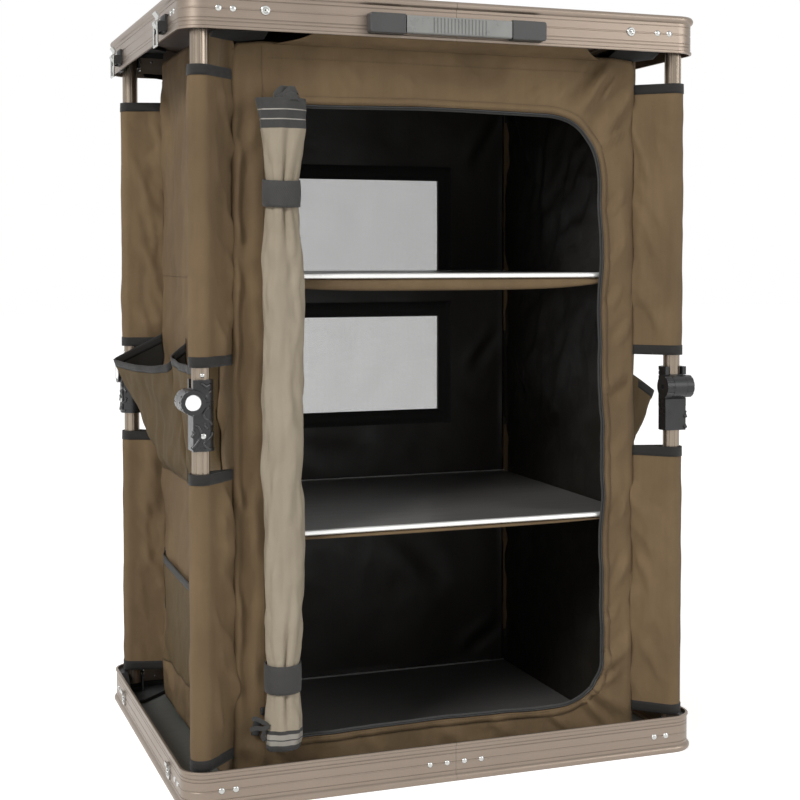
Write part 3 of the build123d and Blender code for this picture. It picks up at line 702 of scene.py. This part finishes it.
# Level, half width and half depth of the roll
ROLL_LEVELS = ((50, 18.6, 13.6), (66, 21.6, 15.4), (86, 22.0, 16.2), (104, 19.6, 15.0), (114, 18.2, 14.2),
               (144, 18.2, 14.2), (156, 20.2, 15.6), (190, 22.4, 17.2), (280, 23.2, 17.8), (400, 23.6, 17.9),
               (520, 23.2, 17.8), (580, 22.2, 17.2), (612, 20.2, 15.8), (628, 18.8, 14.6), (656, 18.8, 14.6),
               (668, 20.8, 15.8), (690, 23.6, 17.0), (716, 26.0, 17.6), (742, 27.4, 17.9))
# Rows of the door's cloth up from its foot, each with the finish of the band that starts there:
# 0 for the cloth, 1 for zip tape and 2 for a painted highlight, light grey lines on the dark coil
ROLL_ROWS = (((0.0, 1), (5.0, 1), (6.2, 2), (11.4, 1), (12.6, 2), (18.0, 1))
             + tuple((22 + 7.0 * k, 0) for k in range(91))
             + ((658.0, 1), (666.8, 2), (668.0, 1), (677.0, 2), (678.2, 1), (687.0, 1), (DOOR_H, 0)))
row_count = len(ROLL_ROWS) - 1
TIE_Z = ((114.0, 144.0), (628.0, 656.0))
# Hollows beside a tie: the angle each starts at, how far it leans, its reach and its depth
ROLL_HOLLOWS = ((-92, 10, 46, 7.4), (-138, -12, 26, 1.8), (-56, 18, 30, 2.2),
                (10, 8, 36, 2.4), (80, 0, 30, 2.4), (140, 0, 30, 2.4))


def roll_half(z):
    """Half widths of the roll at a level."""
    for (z0, a0, b0), (z1, a1, b1) in zip(ROLL_LEVELS, ROLL_LEVELS[1:]):
        if z <= z1:
            t = min(1.0, max(0.0, (z - z0) / (z1 - z0)))
            t = t * t * (3 - 2 * t)
            return a0 + (a1 - a0) * t, b0 + (b1 - b0) * t
    return ROLL_LEVELS[-1][1:]


def roll_hollow(angle, z):
    """How far the ties draw the roll in: hollows that spread and fade away from each tie."""
    deep = 0.0
    for low, high in TIE_Z:
        for away in (low - z, z - high):
            if away > -12:
                start, out = min(1.0, (away + 12) / 12), max(away, 0.0)
                for place, lean, reach, size in ROLL_HOLLOWS:
                    off = (degrees(angle) - place - lean * away / reach + 180) % 360 - 180
                    wide = 6 + 7 * out / reach
                    deep += start * size * exp(-(off / wide) ** 2 - (out / reach) ** 2)
    return deep


def roll_point(angle, z, share):
    """Point of the roll: share 1 is its outer turn."""
    half_x, half_y = roll_half(z)
    loose = min(1.0, min(abs(z - 129), abs(z - 642)) / 70.0)
    wrinkle = (1.6 * uneven(cos(angle) * 1.5, sin(angle) * 1.5, z / 60)
               + 1.2 * uneven(cos(angle) * 2.6, sin(angle) * 2.6, z / 26 + 9))
    spread = share * (1.0 + wrinkle * 0.075 * (0.4 + loose) - roll_hollow(angle, z) / 20.0)
    return ROLL_X + half_x * spread * cos(angle), ROLL_Y + half_y * spread * sin(angle)


def roll_place(u, v):
    """The door's cloth wound up: u runs from the rolled-in edge to the hinge seam."""
    share = sqrt(ROLL_CORE ** 2 + u * (1 - ROLL_CORE ** 2))
    turn = 2 * pi * ROLL_TURNS * (share - 1) / (1 - ROLL_CORE)
    row = v * row_count
    low = min(int(row), row_count - 1)
    z0, z1 = ROLL_ROWS[low][0], ROLL_ROWS[low + 1][0]
    z = ROLL_FOOT + z0 + (z1 - z0) * (row - low)
    x, y = roll_point(turn + radians(30), z, share)
    inset = 3.0 * (1 - share)
    z = z + (inset if z < 400 else -inset)
    return x, min(y, -BODY_Y - 2.6), z


bm = cut_sheet(330, row_count, (DOOR_W, DOOR_H), roll_place)
uv_map = bm.loops.layers.uv.active
for face in bm.faces:
    share = sum(loop[uv_map].uv[1] for loop in face.loops) / len(face.loops) / (DOOR_H * MM)
    face.material_index = ROLL_ROWS[int(share * row_count)][1]
turn_outwards(bm, (ROLL_X, ROLL_Y, 400))
roll = thicken(piece(bm, "rolled_door", [TAUPE, ZIP_TAPE, ZIP_COIL_PAINTED_HIGHLIGHT], "base"), 0.7)
fold_down(roll)
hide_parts("door_roll")

for number, (low, high) in enumerate(TIE_Z):
    def tie_place(u, v):
        angle = u * 2 * pi
        z = low + (high - low) * v
        half_x, half_y = roll_half((low + high) / 2)
        edge = 0.5 * cos(pi * (v - 0.5)) + 0.12 * sin(7 * angle)
        y = ROLL_Y + (half_y + 1.5 + edge) * sin(angle)
        return ROLL_X + (half_x + 1.5 + edge) * cos(angle), y, z + 1.6 * sin(angle)
    bm = cut_sheet(64, 8, (112, high - low), tie_place, joined=True)
    tie = cloth(bm, f"door_tie_{number + 1}", [TIE], 1.0,
                centre=(ROLL_X, ROLL_Y, (low + high) / 2))
    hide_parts("door_ties")


def strap(name, points, width, thickness, across, material=TIE):
    """Flat strap through points; across is the direction of its width."""
    wide = Vector(across).normalized() * width / 2

    def place(u, v):
        here = u * (len(points) - 1)
        k = min(int(here), len(points) - 2)
        return Vector(points[k]).lerp(Vector(points[k + 1]), here - k) + wide * (2 * v - 1)

    bm = cut_sheet(6 * (len(points) - 1), 2, (length_of(points), width), place)
    bmesh.ops.recalc_face_normals(bm, faces=bm.faces)
    made = thicken(piece(bm, name, [material], "base"), thickness)
    made.modifiers["thickness"].offset = 0
    smooth = made.modifiers.new("round", "SUBSURF")
    smooth.levels = smooth.render_levels = 1
    fold_down(made)


# Webbing bunched on top of the roll, and the ties knotted beside its foot
strap("roll_tail_band", [(-201, -216, 736), (-199, -217, 744), (-192, -216, 750), (-184, -213, 750),
                         (-176, -212, 745), (-173, -213, 737)], 11, 1.5, (0.1, 0.5, 1))
strap("roll_tail_fold", [(-197, -221, 739), (-190, -222, 743), (-182, -219, 750), (-175, -213, 751),
                         (-172, -208, 744)], 10, 1.5, (-0.4, 0.5, 1))
strap("roll_tail_end", [(-192, -224, 740), (-184, -225, 743), (-177, -222, 743), (-171, -216, 739)],
      10, 1.4, (0, 0.6, 1))
strap("zip_tie_upper", [(-208, -217, 80), (-214, -216, 84), (-220, -212, 87), (-223, -207, 86)],
      5, 1.5, (0.3, 0, 1), ZIP_TAPE)
strap("zip_tie_lower", [(-207, -217, 80), (-212, -217, 76), (-214, -215, 69), (-211, -214, 63)],
      5, 1.5, (1, 0, 0.3), ZIP_TAPE)
strap("zip_tie_side", [(-207, -218, 79), (-214, -217, 77), (-220, -212, 77), (-225, -206, 74)],
      5, 1.5, (0, 0.3, 1), ZIP_TAPE)


# Sleeves that tie the body to its posts

# Sleeves: radius round the post, and the angle each side of the seam where the web starts
SLEEVE_R, WEB_ANGLE = 12.0, 73
# Foot and head of the lower (0) and upper (1) sleeve of each post
SLEEVE_ENDS = {("front_left", 0): (41, 349), ("front_left", 1): (461, 772), ("front_right", 0): (43, 354),
               ("front_right", 1): (462, 774), ("rear_left", 0): (41, 350), ("rear_left", 1): (461, 772),
               ("rear_right", 0): (42, 352), ("rear_right", 1): (462, 772)}


def sleeve_loop(corner):
    """Plan of a sleeve: round the post and in to the seam at the body's corner."""
    sx, sy = CORNERS[corner]
    post, tip = Vector((sx * POST_X, sy * POST_Y)), Vector((sx * (BODY_X - 4.0), sy * (BODY_Y - 5.0)))
    to_tip = tip - post
    facing = to_tip.angle_signed(Vector((1, 0)))
    half = pi - radians(WEB_ANGLE)
    points = [tuple(tip)]
    for k in range(25):
        angle = facing + pi - half + 2 * half * k / 24
        points.append((post.x + SLEEVE_R * cos(angle), post.y + SLEEVE_R * sin(angle)))
    return points + [tuple(tip)]


def sleeve_place(corner, low, high, grow=0.0):
    """Sleeve cloth between two levels: its web is drawn in folds, and grow pushes it out."""
    sx, sy = CORNERS[corner]
    loop = sleeve_loop(corner)
    post = Vector((sx * POST_X, sy * POST_Y))
    middle = post * 0.72 + Vector(loop[0]) * 0.28  # inside the loop
    seed = 13.0 * sx + 29.0 * sy  # each post has folds of its own

    def place(u, v):
        x, y = along(loop, u)
        z = low + (high - low) * v
        away = Vector((x, y)) - post
        web = min(1.0, max(0.0, (away.length - SLEEVE_R) / 12.0))
        ahead, behind = along(loop, min(u + 0.01, 1.0)), along(loop, max(u - 0.01, 0.0))
        out = Vector((ahead[1] - behind[1], behind[0] - ahead[0])).normalized()
        if out.dot(Vector((x, y)) - middle) < 0:
            out = -out
        foot, head = SLEEVE_ENDS[corner, int(z >= 400)]
        inner = max(0.0, min(1.0, min(z - foot, head - z) / 30.0))
        folds = (uneven(u * 4 + seed, (z + 170 * u) / 64, seed) * 6.0
                 + uneven(u * 9 + seed, (z + 120 * u) / 24, 3) * 2.8)
        swell = grow + max(-0.3, folds + 0.8) * inner * (0.3 + 1.5 * web)
        if not 0.02 < u < 0.98:
            swell = 0.0
        return x + out.x * swell, y + out.y * swell, z
    return place


for (corner, level), (low, high) in SLEEVE_ENDS.items():
    sx, sy = CORNERS[corner]
    round_length = length_of(sleeve_loop(corner))
    middle = (sx * POST_X, sy * POST_Y, (low + high) / 2)
    label = f"{'upper' if level else 'lower'}_sleeve_{corner}"
    bm = cut_sheet(72, 90, (round_length, high - low), sleeve_place(corner, low, high), joined=True)
    sleeve = cloth(bm, label, thickness=0.7, centre=middle)
    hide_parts("post_sleeves")
    for end, (z0, z1) in (("foot", (low - 0.6, low + 10.5)), ("head", (high - 10.5, high + 0.6))):
        bm = cut_sheet(72, 3, (round_length, z1 - z0), sleeve_place(corner, z0, z1, 0.75), joined=True)
        hem = cloth(bm, f"{label}_{end}_hem", [HEM], 1.0, centre=middle)
        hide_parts("sleeve_hems")


# Pockets on the walls. Each row gives the side, its rear and front end, how deep it hangs open at
# each end, the level of its mouth at the wall and outside, its foot and the belly below the foot.

POCKET_CUTS = {"left_rear_pocket": (-1, 173, 21, 66, 26, 478, 446, 306, 12),
               "left_front_pocket": (-1, 18, -152, 25, 31, 476, 458, 306, 8),
               "left_low_pocket": (-1, 168, -152, 6, 8, 203, 195, 60, 3),
               "right_pocket": (1, 160, -150, 44, 51, 446, 412, 306, 10)}


def pocket_loop(cut, depth_share):
    """Plan of a pocket at a share of its depth."""
    rear, front, rear_hang, front_hang = cut[1:5]
    corners = [(rear, 0.0), (rear + 1.0, 0.55 * rear_hang), (rear - 1.5, rear_hang - 3), (rear - 6, rear_hang),
               ((rear + front) / 2, (rear_hang + front_hang) / 2 * 1.03), (front + 6, front_hang),
               (front + 1.5, front_hang - 3), (front - 1.0, 0.55 * front_hang), (front, 0.0)]
    return [(y, BODY_X + 0.5 + out * depth_share) for y, out in corners]


def pocket_place(cut, low=0.0, high=1.0, grow=0.0):
    """Open-topped pocket, from its foot seam up to its mouth: v from low to high, pushed out by grow."""
    side, rear, front, rear_hang, front_hang, wall_z, mouth_z, foot_z, belly = cut

    def place(u, v):
        v = low + (high - low) * v
        share = v ** 0.85
        y, x = along(pocket_loop(cut, share), u)
        depth = rear_hang + (front_hang - rear_hang) * (rear - y) / (rear - front)
        outness = min(1.0, max(0.0, (x - BODY_X - 0.5) / max(depth * share, 0.5)))
        top = wall_z + (mouth_z - wall_z) * outness * (0.8 + 0.2 * share)
        middle = max(0.0, 1 - ((y - (rear + front) / 2) / ((rear - front) / 2)) ** 2)
        z = foot_z + (top - foot_z) * v - belly * middle * sin(pi * min(1.0, v * 1.6)) * (1 - v) * 1.4
        z -= middle * 4.0 * outness * v ** 3
        folds = (uneven((y + 0.5 * z) / 36, z / 70, rear) * 6.0
                 + uneven((y + 0.6 * z) / 15, z / 30, front) * 2.4)
        # Folds die out at the foot seam, are held by the mouth's hem, and are small where it is shallow
        held = min(1.0, v * 5) * min(1.0, 0.35 + 2.2 * (1 - v)) * min(1.0, depth / 24.0) * 1.3
        x += folds * held * (0.4 + 0.6 * outness) * min(1.0, outness * 4) + grow
        return side * max(x, BODY_X + 1.0 + side_depth(y, z)), y, z
    return place


for label, cut in POCKET_CUTS.items():
    side, rear, front, rear_hang, front_hang, wall_z, mouth_z, foot_z, belly = cut
    middle = (side * (BODY_X - 40), (rear + front) / 2, (foot_z + mouth_z) / 2 - 10)
    run = length_of(pocket_loop(cut, 1.0))
    tall = hypot((mouth_z + wall_z) / 2 - foot_z, (rear_hang + front_hang) / 2)
    bm = cut_sheet(110, 44, (run, tall), pocket_place(cut))
    # The pockets take the darker copy of the olive cloth, which is painted shade
    pocket = cloth(bm, label, (PAINTED_SHADE_CLOTH, LINING), centre=middle)
    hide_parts("side_pockets")
    share = 1 - 10.5 / tall
    bm = cut_sheet(110, 3, (run, 10.5), pocket_place(cut, share, 1.004, 0.7))
    hem = cloth(bm, f"{label}_hem", [HEM], 1.1, centre=middle)
    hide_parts("side_pockets")
    seam_y = [front + 2 + (rear - front - 4) * k / 40 for k in range(41)]
    sewn(f"{label}_seam", [[(side * (BODY_X + 2.4 + side_depth(y, foot_z)), y, foot_z + 2.5) for y in seam_y]])
sewn("side_seam", [[(side * (BODY_X + 0.6 + side_depth(y, 551)), y, 551) for y in range(-184, 185, 4)]
                   for side in (-1, 1)])
sewn("front_border_seam", [[(-206, -BODY_Y - front_depth(-206, z) - 0.4, z) for z in range(12, 800, 6)],
                           [(x, -BODY_Y - front_depth(x, 786) - 0.4, 786) for x in range(-200, 204, 6)]])


# Flaps that hang the body in the worktop's tray

TRAY_EDGE_Y = 226.3
for side_y, label in ((-1, "front"), (1, "rear")):
    def flap_place(u, v):
        x = (2 * u - 1) * (158 + 36 * (1 - v))
        y = side_y * (BODY_Y + 0.4 + (TRAY_EDGE_Y - BODY_Y - 0.4) * v)
        slack = sin(pi * v)
        return x, y, 800.4 + 8.6 * v ** 1.3 - 1.8 * slack + ripple(x, y, 0, 40, 1.6) * slack
    bm = cut_sheet(90, 8, (352, 38), flap_place)
    flap = cloth(bm, f"{label}_flap", (OLIVE,), body="top", centre=(0, 0, 2000))
    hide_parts("fixing_flaps")
# The gussets are black cloth carrying painted shade: darker than the lining, for the shade under the rail
for corner, (sx, sy) in CORNERS.items():
    def gusset_place(u, v):
        x = sx * (204 + 58 * u)
        y = sy * (BODY_Y + 0.8 + 22 * v * (1 - 0.35 * u))
        return x, y, 804.5 + 5.5 * v - 2.5 * sin(pi * u) * (1 - v) + ripple(x, y, 0, 22, 1.6)
    bm = cut_sheet(26, 12, (60, 26), gusset_place)
    gusset = cloth(bm, f"gusset_{corner}", (GUSSET_PAINTED_SHADE,), body="top",
                   centre=(0, 0, 2000))


# Bright rods along the floor board

bm = bmesh.new()
for side_y in (-1, 1):
    rope(bm, [(-235.8 + 471.6 * k / 8, side_y * ROD_Y, 8.1) for k in range(9)], 3.06, 20)
piece(bm, "floor_rods", [ROD], "base")


# Cloth slings that carry the front edges of the shelves

SLING_R, SLING_BACK = 3.8, 70
for level, centre_z, drop in (("upper", 554.0, 13.0), ("lower", 275.0, 4.0)):
    def sling_place(u, v):
        x = (2 * u - 1) * 233
        hang = (1 - (2 * u - 1) ** 4) * drop
        if v < 0.55:
            angle = radians(-62 + 180 * v / 0.55)
            return x, -ROD_Y - SLING_R * cos(angle), centre_z - 3.4 - hang * (0.55 - v) / 0.55
        back = (v - 0.55) / 0.45
        return x, -ROD_Y - SLING_R + SLING_BACK * back, centre_z - 3.4 - 0.6 * sin(pi * back)

    bm = cut_sheet(90, 12, (466, 92), sling_place)
    sling = cloth(bm, f"{level}_shelf_sling", body=f"shelf_{level}",
                  centre=(0, 0, centre_z))


# Fasteners and small metalwork

def rivet(bm, at, way, radius, height):
    """Pressed rivet head on a surface."""
    verts = bmesh.ops.create_uvsphere(bm, u_segments=16, v_segments=8, radius=MM)["verts"]
    bmesh.ops.transform(bm, matrix=facing(at, way) @ Matrix.Diagonal((radius, radius, height, 1)), verts=verts)


def washer(bm, at, way, radius, wire):
    """Round ring."""
    before = set(bm.verts)
    upright = Matrix.Translation((radius * MM, 0, 0)) @ Matrix.Rotation(pi / 2, 4, "X")
    section = bmesh.ops.create_circle(bm, segments=8, radius=wire * MM, matrix=upright)["verts"]
    edges = list({edge for vert in section for edge in vert.link_edges})
    bmesh.ops.spin(bm, geom=section + edges, cent=(0, 0, 0), axis=(0, 0, 1), angle=2 * pi, steps=28,
                   use_merge=True)
    bmesh.ops.transform(bm, matrix=facing(at, way), verts=[vert for vert in bm.verts if vert not in before])


def metalwork(name, body, material, heads=(), rings=()):
    """Rivet heads and rings of one finish on one body."""
    bm = bmesh.new()
    for ring in rings:
        washer(bm, *ring)
    for head in heads:
        rivet(bm, *head)
    bmesh.ops.recalc_face_normals(bm, faces=bm.faces)
    return piece(bm, name, [material], body)


# Rivets of the rails, with black dots painted as the shade in the studs' recessed centres on the worktop's
# rail, and the rings on the base's sides
for tray, z in (("base", 20.8), ("top", 829.2)):
    heads, recess_shade_dots, rings = [], [], []
    for side_y in (-1, 1):
        way = (0, side_y, 0)
        for x, radius, height in ((246.2, 3.6, 1.6), (261.3, 3.6, 1.6), (10.2, 3.2, 1.5), (30.2, 3.2, 1.5)):
            heads += [((sx * x, side_y * (RAIL_Y - 0.2), z), way, radius, height) for sx in (-1, 1)]
        if tray == "top":
            for x in (-212.1, 212.1):
                rings.append(((x, side_y * (RAIL_Y + 0.3), z), way, 3.9, 1.3))
                heads.append(((x, side_y * RAIL_Y, z), way, 3.2, 0.9))
                # Painted shade: a small black dot stands for the shade in the stud's recessed centre
                recess_shade_dots.append(((x, side_y * (RAIL_Y + 0.6), z), way, 1.0, 0.6))
    for side_x in (-1, 1):
        way = (side_x, 0, 0)
        heads += [((side_x * (RAIL_X - 0.2), y, z), way, 3.5, 1.5) for y in (-192, -176, 176, 192)]
        if tray == "base":
            rings += [((side_x * (RAIL_X + 2.2), y, 17.9), way, 3.0, 0.7) for y in (-145, 145)]
    metalwork(f"{tray}_rivets", tray, STEEL, heads, rings)
    if recess_shade_dots:
        metalwork(f"{tray}_stud_painted_shade_dots", tray, BLACK, recess_shade_dots)

for corner, way in zip(CORNERS, ((0, -1, 0), (1, 0, 0), (0, 1, 0), (-1, 0, 0))):
    sx, sy = CORNERS[corner]
    for half, out, z, radius, height in (("lower", 13.6, 390, 3.2, 1.4), ("upper", 9.3, 452.5, 2.6, 1.1)):
        at = Vector((sx * POST_X, sy * POST_Y, z)) + Vector(way) * out
        metalwork(f"{half}_rivets_{corner}", f"{half}_{corner}", STEEL,
                  [(at, way, radius, height)])

# Raised ribs moulded on the elbows, drawn about the front-left post and turned to each one; their lighter
# colour than the elbow is a painted highlight
RIB_LINES = {"lower": [[(-12, 377), (-8, 381), (-4, 387), (-2, 394), (-5, 400), (-9, 402)],
                       [(9, 376), (3, 378), (0, 382), (4, 386), (9, 390), (10, 395)],
                       [(10, 401), (6, 406), (2, 408), (0, 413), (3, 418), (8, 421)],
                       [(-12, 389), (-9, 393), (-11, 397)], [(5, 397), (1, 401), (2, 405)]],
             "upper": [[(3, 428), (5, 434), (10, 438)], [(-2, 445), (3, 441), (10, 444)]]}
DRUM_R = 13.5
for number, (corner, (sx, sy)) in enumerate(CORNERS.items()):
    turn = Matrix.Rotation(radians(90 * number), 4, "Z")
    to_post = Matrix.Translation((sx * POST_X * MM, sy * POST_Y * MM, 0)) @ turn
    for half, lines in RIB_LINES.items():
        bm = bmesh.new()
        for line in lines:
            fine = [(xa + (xb - xa) * t / 4, za + (zb - za) * t / 4)
                    for (xa, za), (xb, zb) in zip(line, line[1:]) for t in range(4)]
            rope(bm, [(x, 0.8 - sqrt(DRUM_R ** 2 - max(x, 0.0) ** 2), z) for x, z in fine], 1.9, 10)
        bmesh.ops.transform(bm, matrix=to_post, verts=bm.verts)
        piece(bm, f"{half}_elbow_ribs_{corner}", [RIB_PAINTED_HIGHLIGHT], f"{half}_{corner}")


def rounded_block(name, size, edge, tilt, centre, material):
    """Small block with rounded edges, tilted sideways."""
    bm = bmesh.new()
    bmesh.ops.create_cube(bm, size=1)
    bmesh.ops.transform(bm, matrix=Matrix.Diagonal([length * MM for length in size] + [1]), verts=bm.verts)
    bmesh.ops.bevel(bm, geom=list(bm.edges), offset=edge * MM, affect="EDGES", segments=3, profile=0.5,
                    material=-1)
    turn = Matrix.Rotation(radians(tilt), 4, "Y")
    bmesh.ops.transform(bm, matrix=Matrix.Translation(Vector(centre) * MM) @ turn, verts=bm.verts)
    fold_down(piece(bm, name, [material], "base"))


rounded_block("zip_slider", (6, 3.4, 8), 1.2, 0, (-208, -194.5, 89), ZIP_COIL)
rounded_block("zip_pull", (9, 2.6, 16), 1.1, 12, (-216, -196.5, 72), BLACK)


# Floor, light and camera

def seen_directly(shaded):
    """1 where the camera sees a finish, mirrored or clear through too, and 0 where it only lights."""
    ray = node(shaded, "LightPath").outputs
    second_hand = mix_values(shaded, "MAXIMUM", ray["Is Glossy Ray"], ray["Is Transmission Ray"])
    return mix_values(shaded, "MAXIMUM", ray["Is Camera Ray"], second_hand)


paper, shader = finish("pale_floor", {"Base Color": (0.86, 0.86, 0.855, 1), "Roughness": 0.9,
                                      "Specular IOR Level": 0.1, "Emission Color": (1, 1, 1, 1)})
plug(paper, shader, glow=mix_values(paper, "MULTIPLY", seen_directly(paper), 0.6))
bm = bmesh.new()
bmesh.ops.create_grid(bm, x_segments=1, y_segments=1, size=14)
floor_mesh = bpy.data.meshes.new("floor")
bm.to_mesh(floor_mesh)
bm.free()
floor_mesh.materials.append(paper)
floor = bpy.data.objects.new("floor", floor_mesh)
scene.collection.objects.link(floor)

world = scene.world = bpy.data.worlds.new("studio")
world.use_nodes = True
background = world.node_tree.nodes["Background"]
background.inputs["Color"].default_value = (1, 1, 1, 1)
strength = stretch_values(world, seen_directly(world), 0.0, 1.0, 0.5, 1.0)
world.node_tree.links.new(strength, background.inputs["Strength"])


def soft_light(name, at, look_at, size, power):
    """Square soft light."""
    lamp = bpy.data.lights.new(name, "AREA")
    lamp.shape = "SQUARE"
    lamp.size = size
    lamp.energy = power
    made = bpy.data.objects.new(name, lamp)
    made.location = at
    made.rotation_euler = (Vector(look_at) - Vector(at)).to_track_quat("-Z", "Y").to_euler()
    scene.collection.objects.link(made)


soft_light("key", (-3.0, -2.3, 2.9), (0, 0, 0.4), 1.2, 134)
soft_light("fill", (2.6, -2.8, 1.6), (0, 0, 0.4), 1.8, 41)

lens = bpy.data.cameras.new("view")
lens.lens, lens.sensor_width = 68.461, 36.0
lens.shift_x, lens.shift_y = -0.0321, -0.1175
lens.clip_start, lens.clip_end = 0.05, 60.0
eye = bpy.data.objects.new("view", lens)
eye.location = (-0.6110, -1.7667, 0.5739)
eye.rotation_euler = (radians(88.185), 0.0, radians(-20.53))
scene.collection.objects.link(eye)
scene.camera = eye
scene.view_settings.view_transform = "Standard"

bpy.context.view_layer.update()
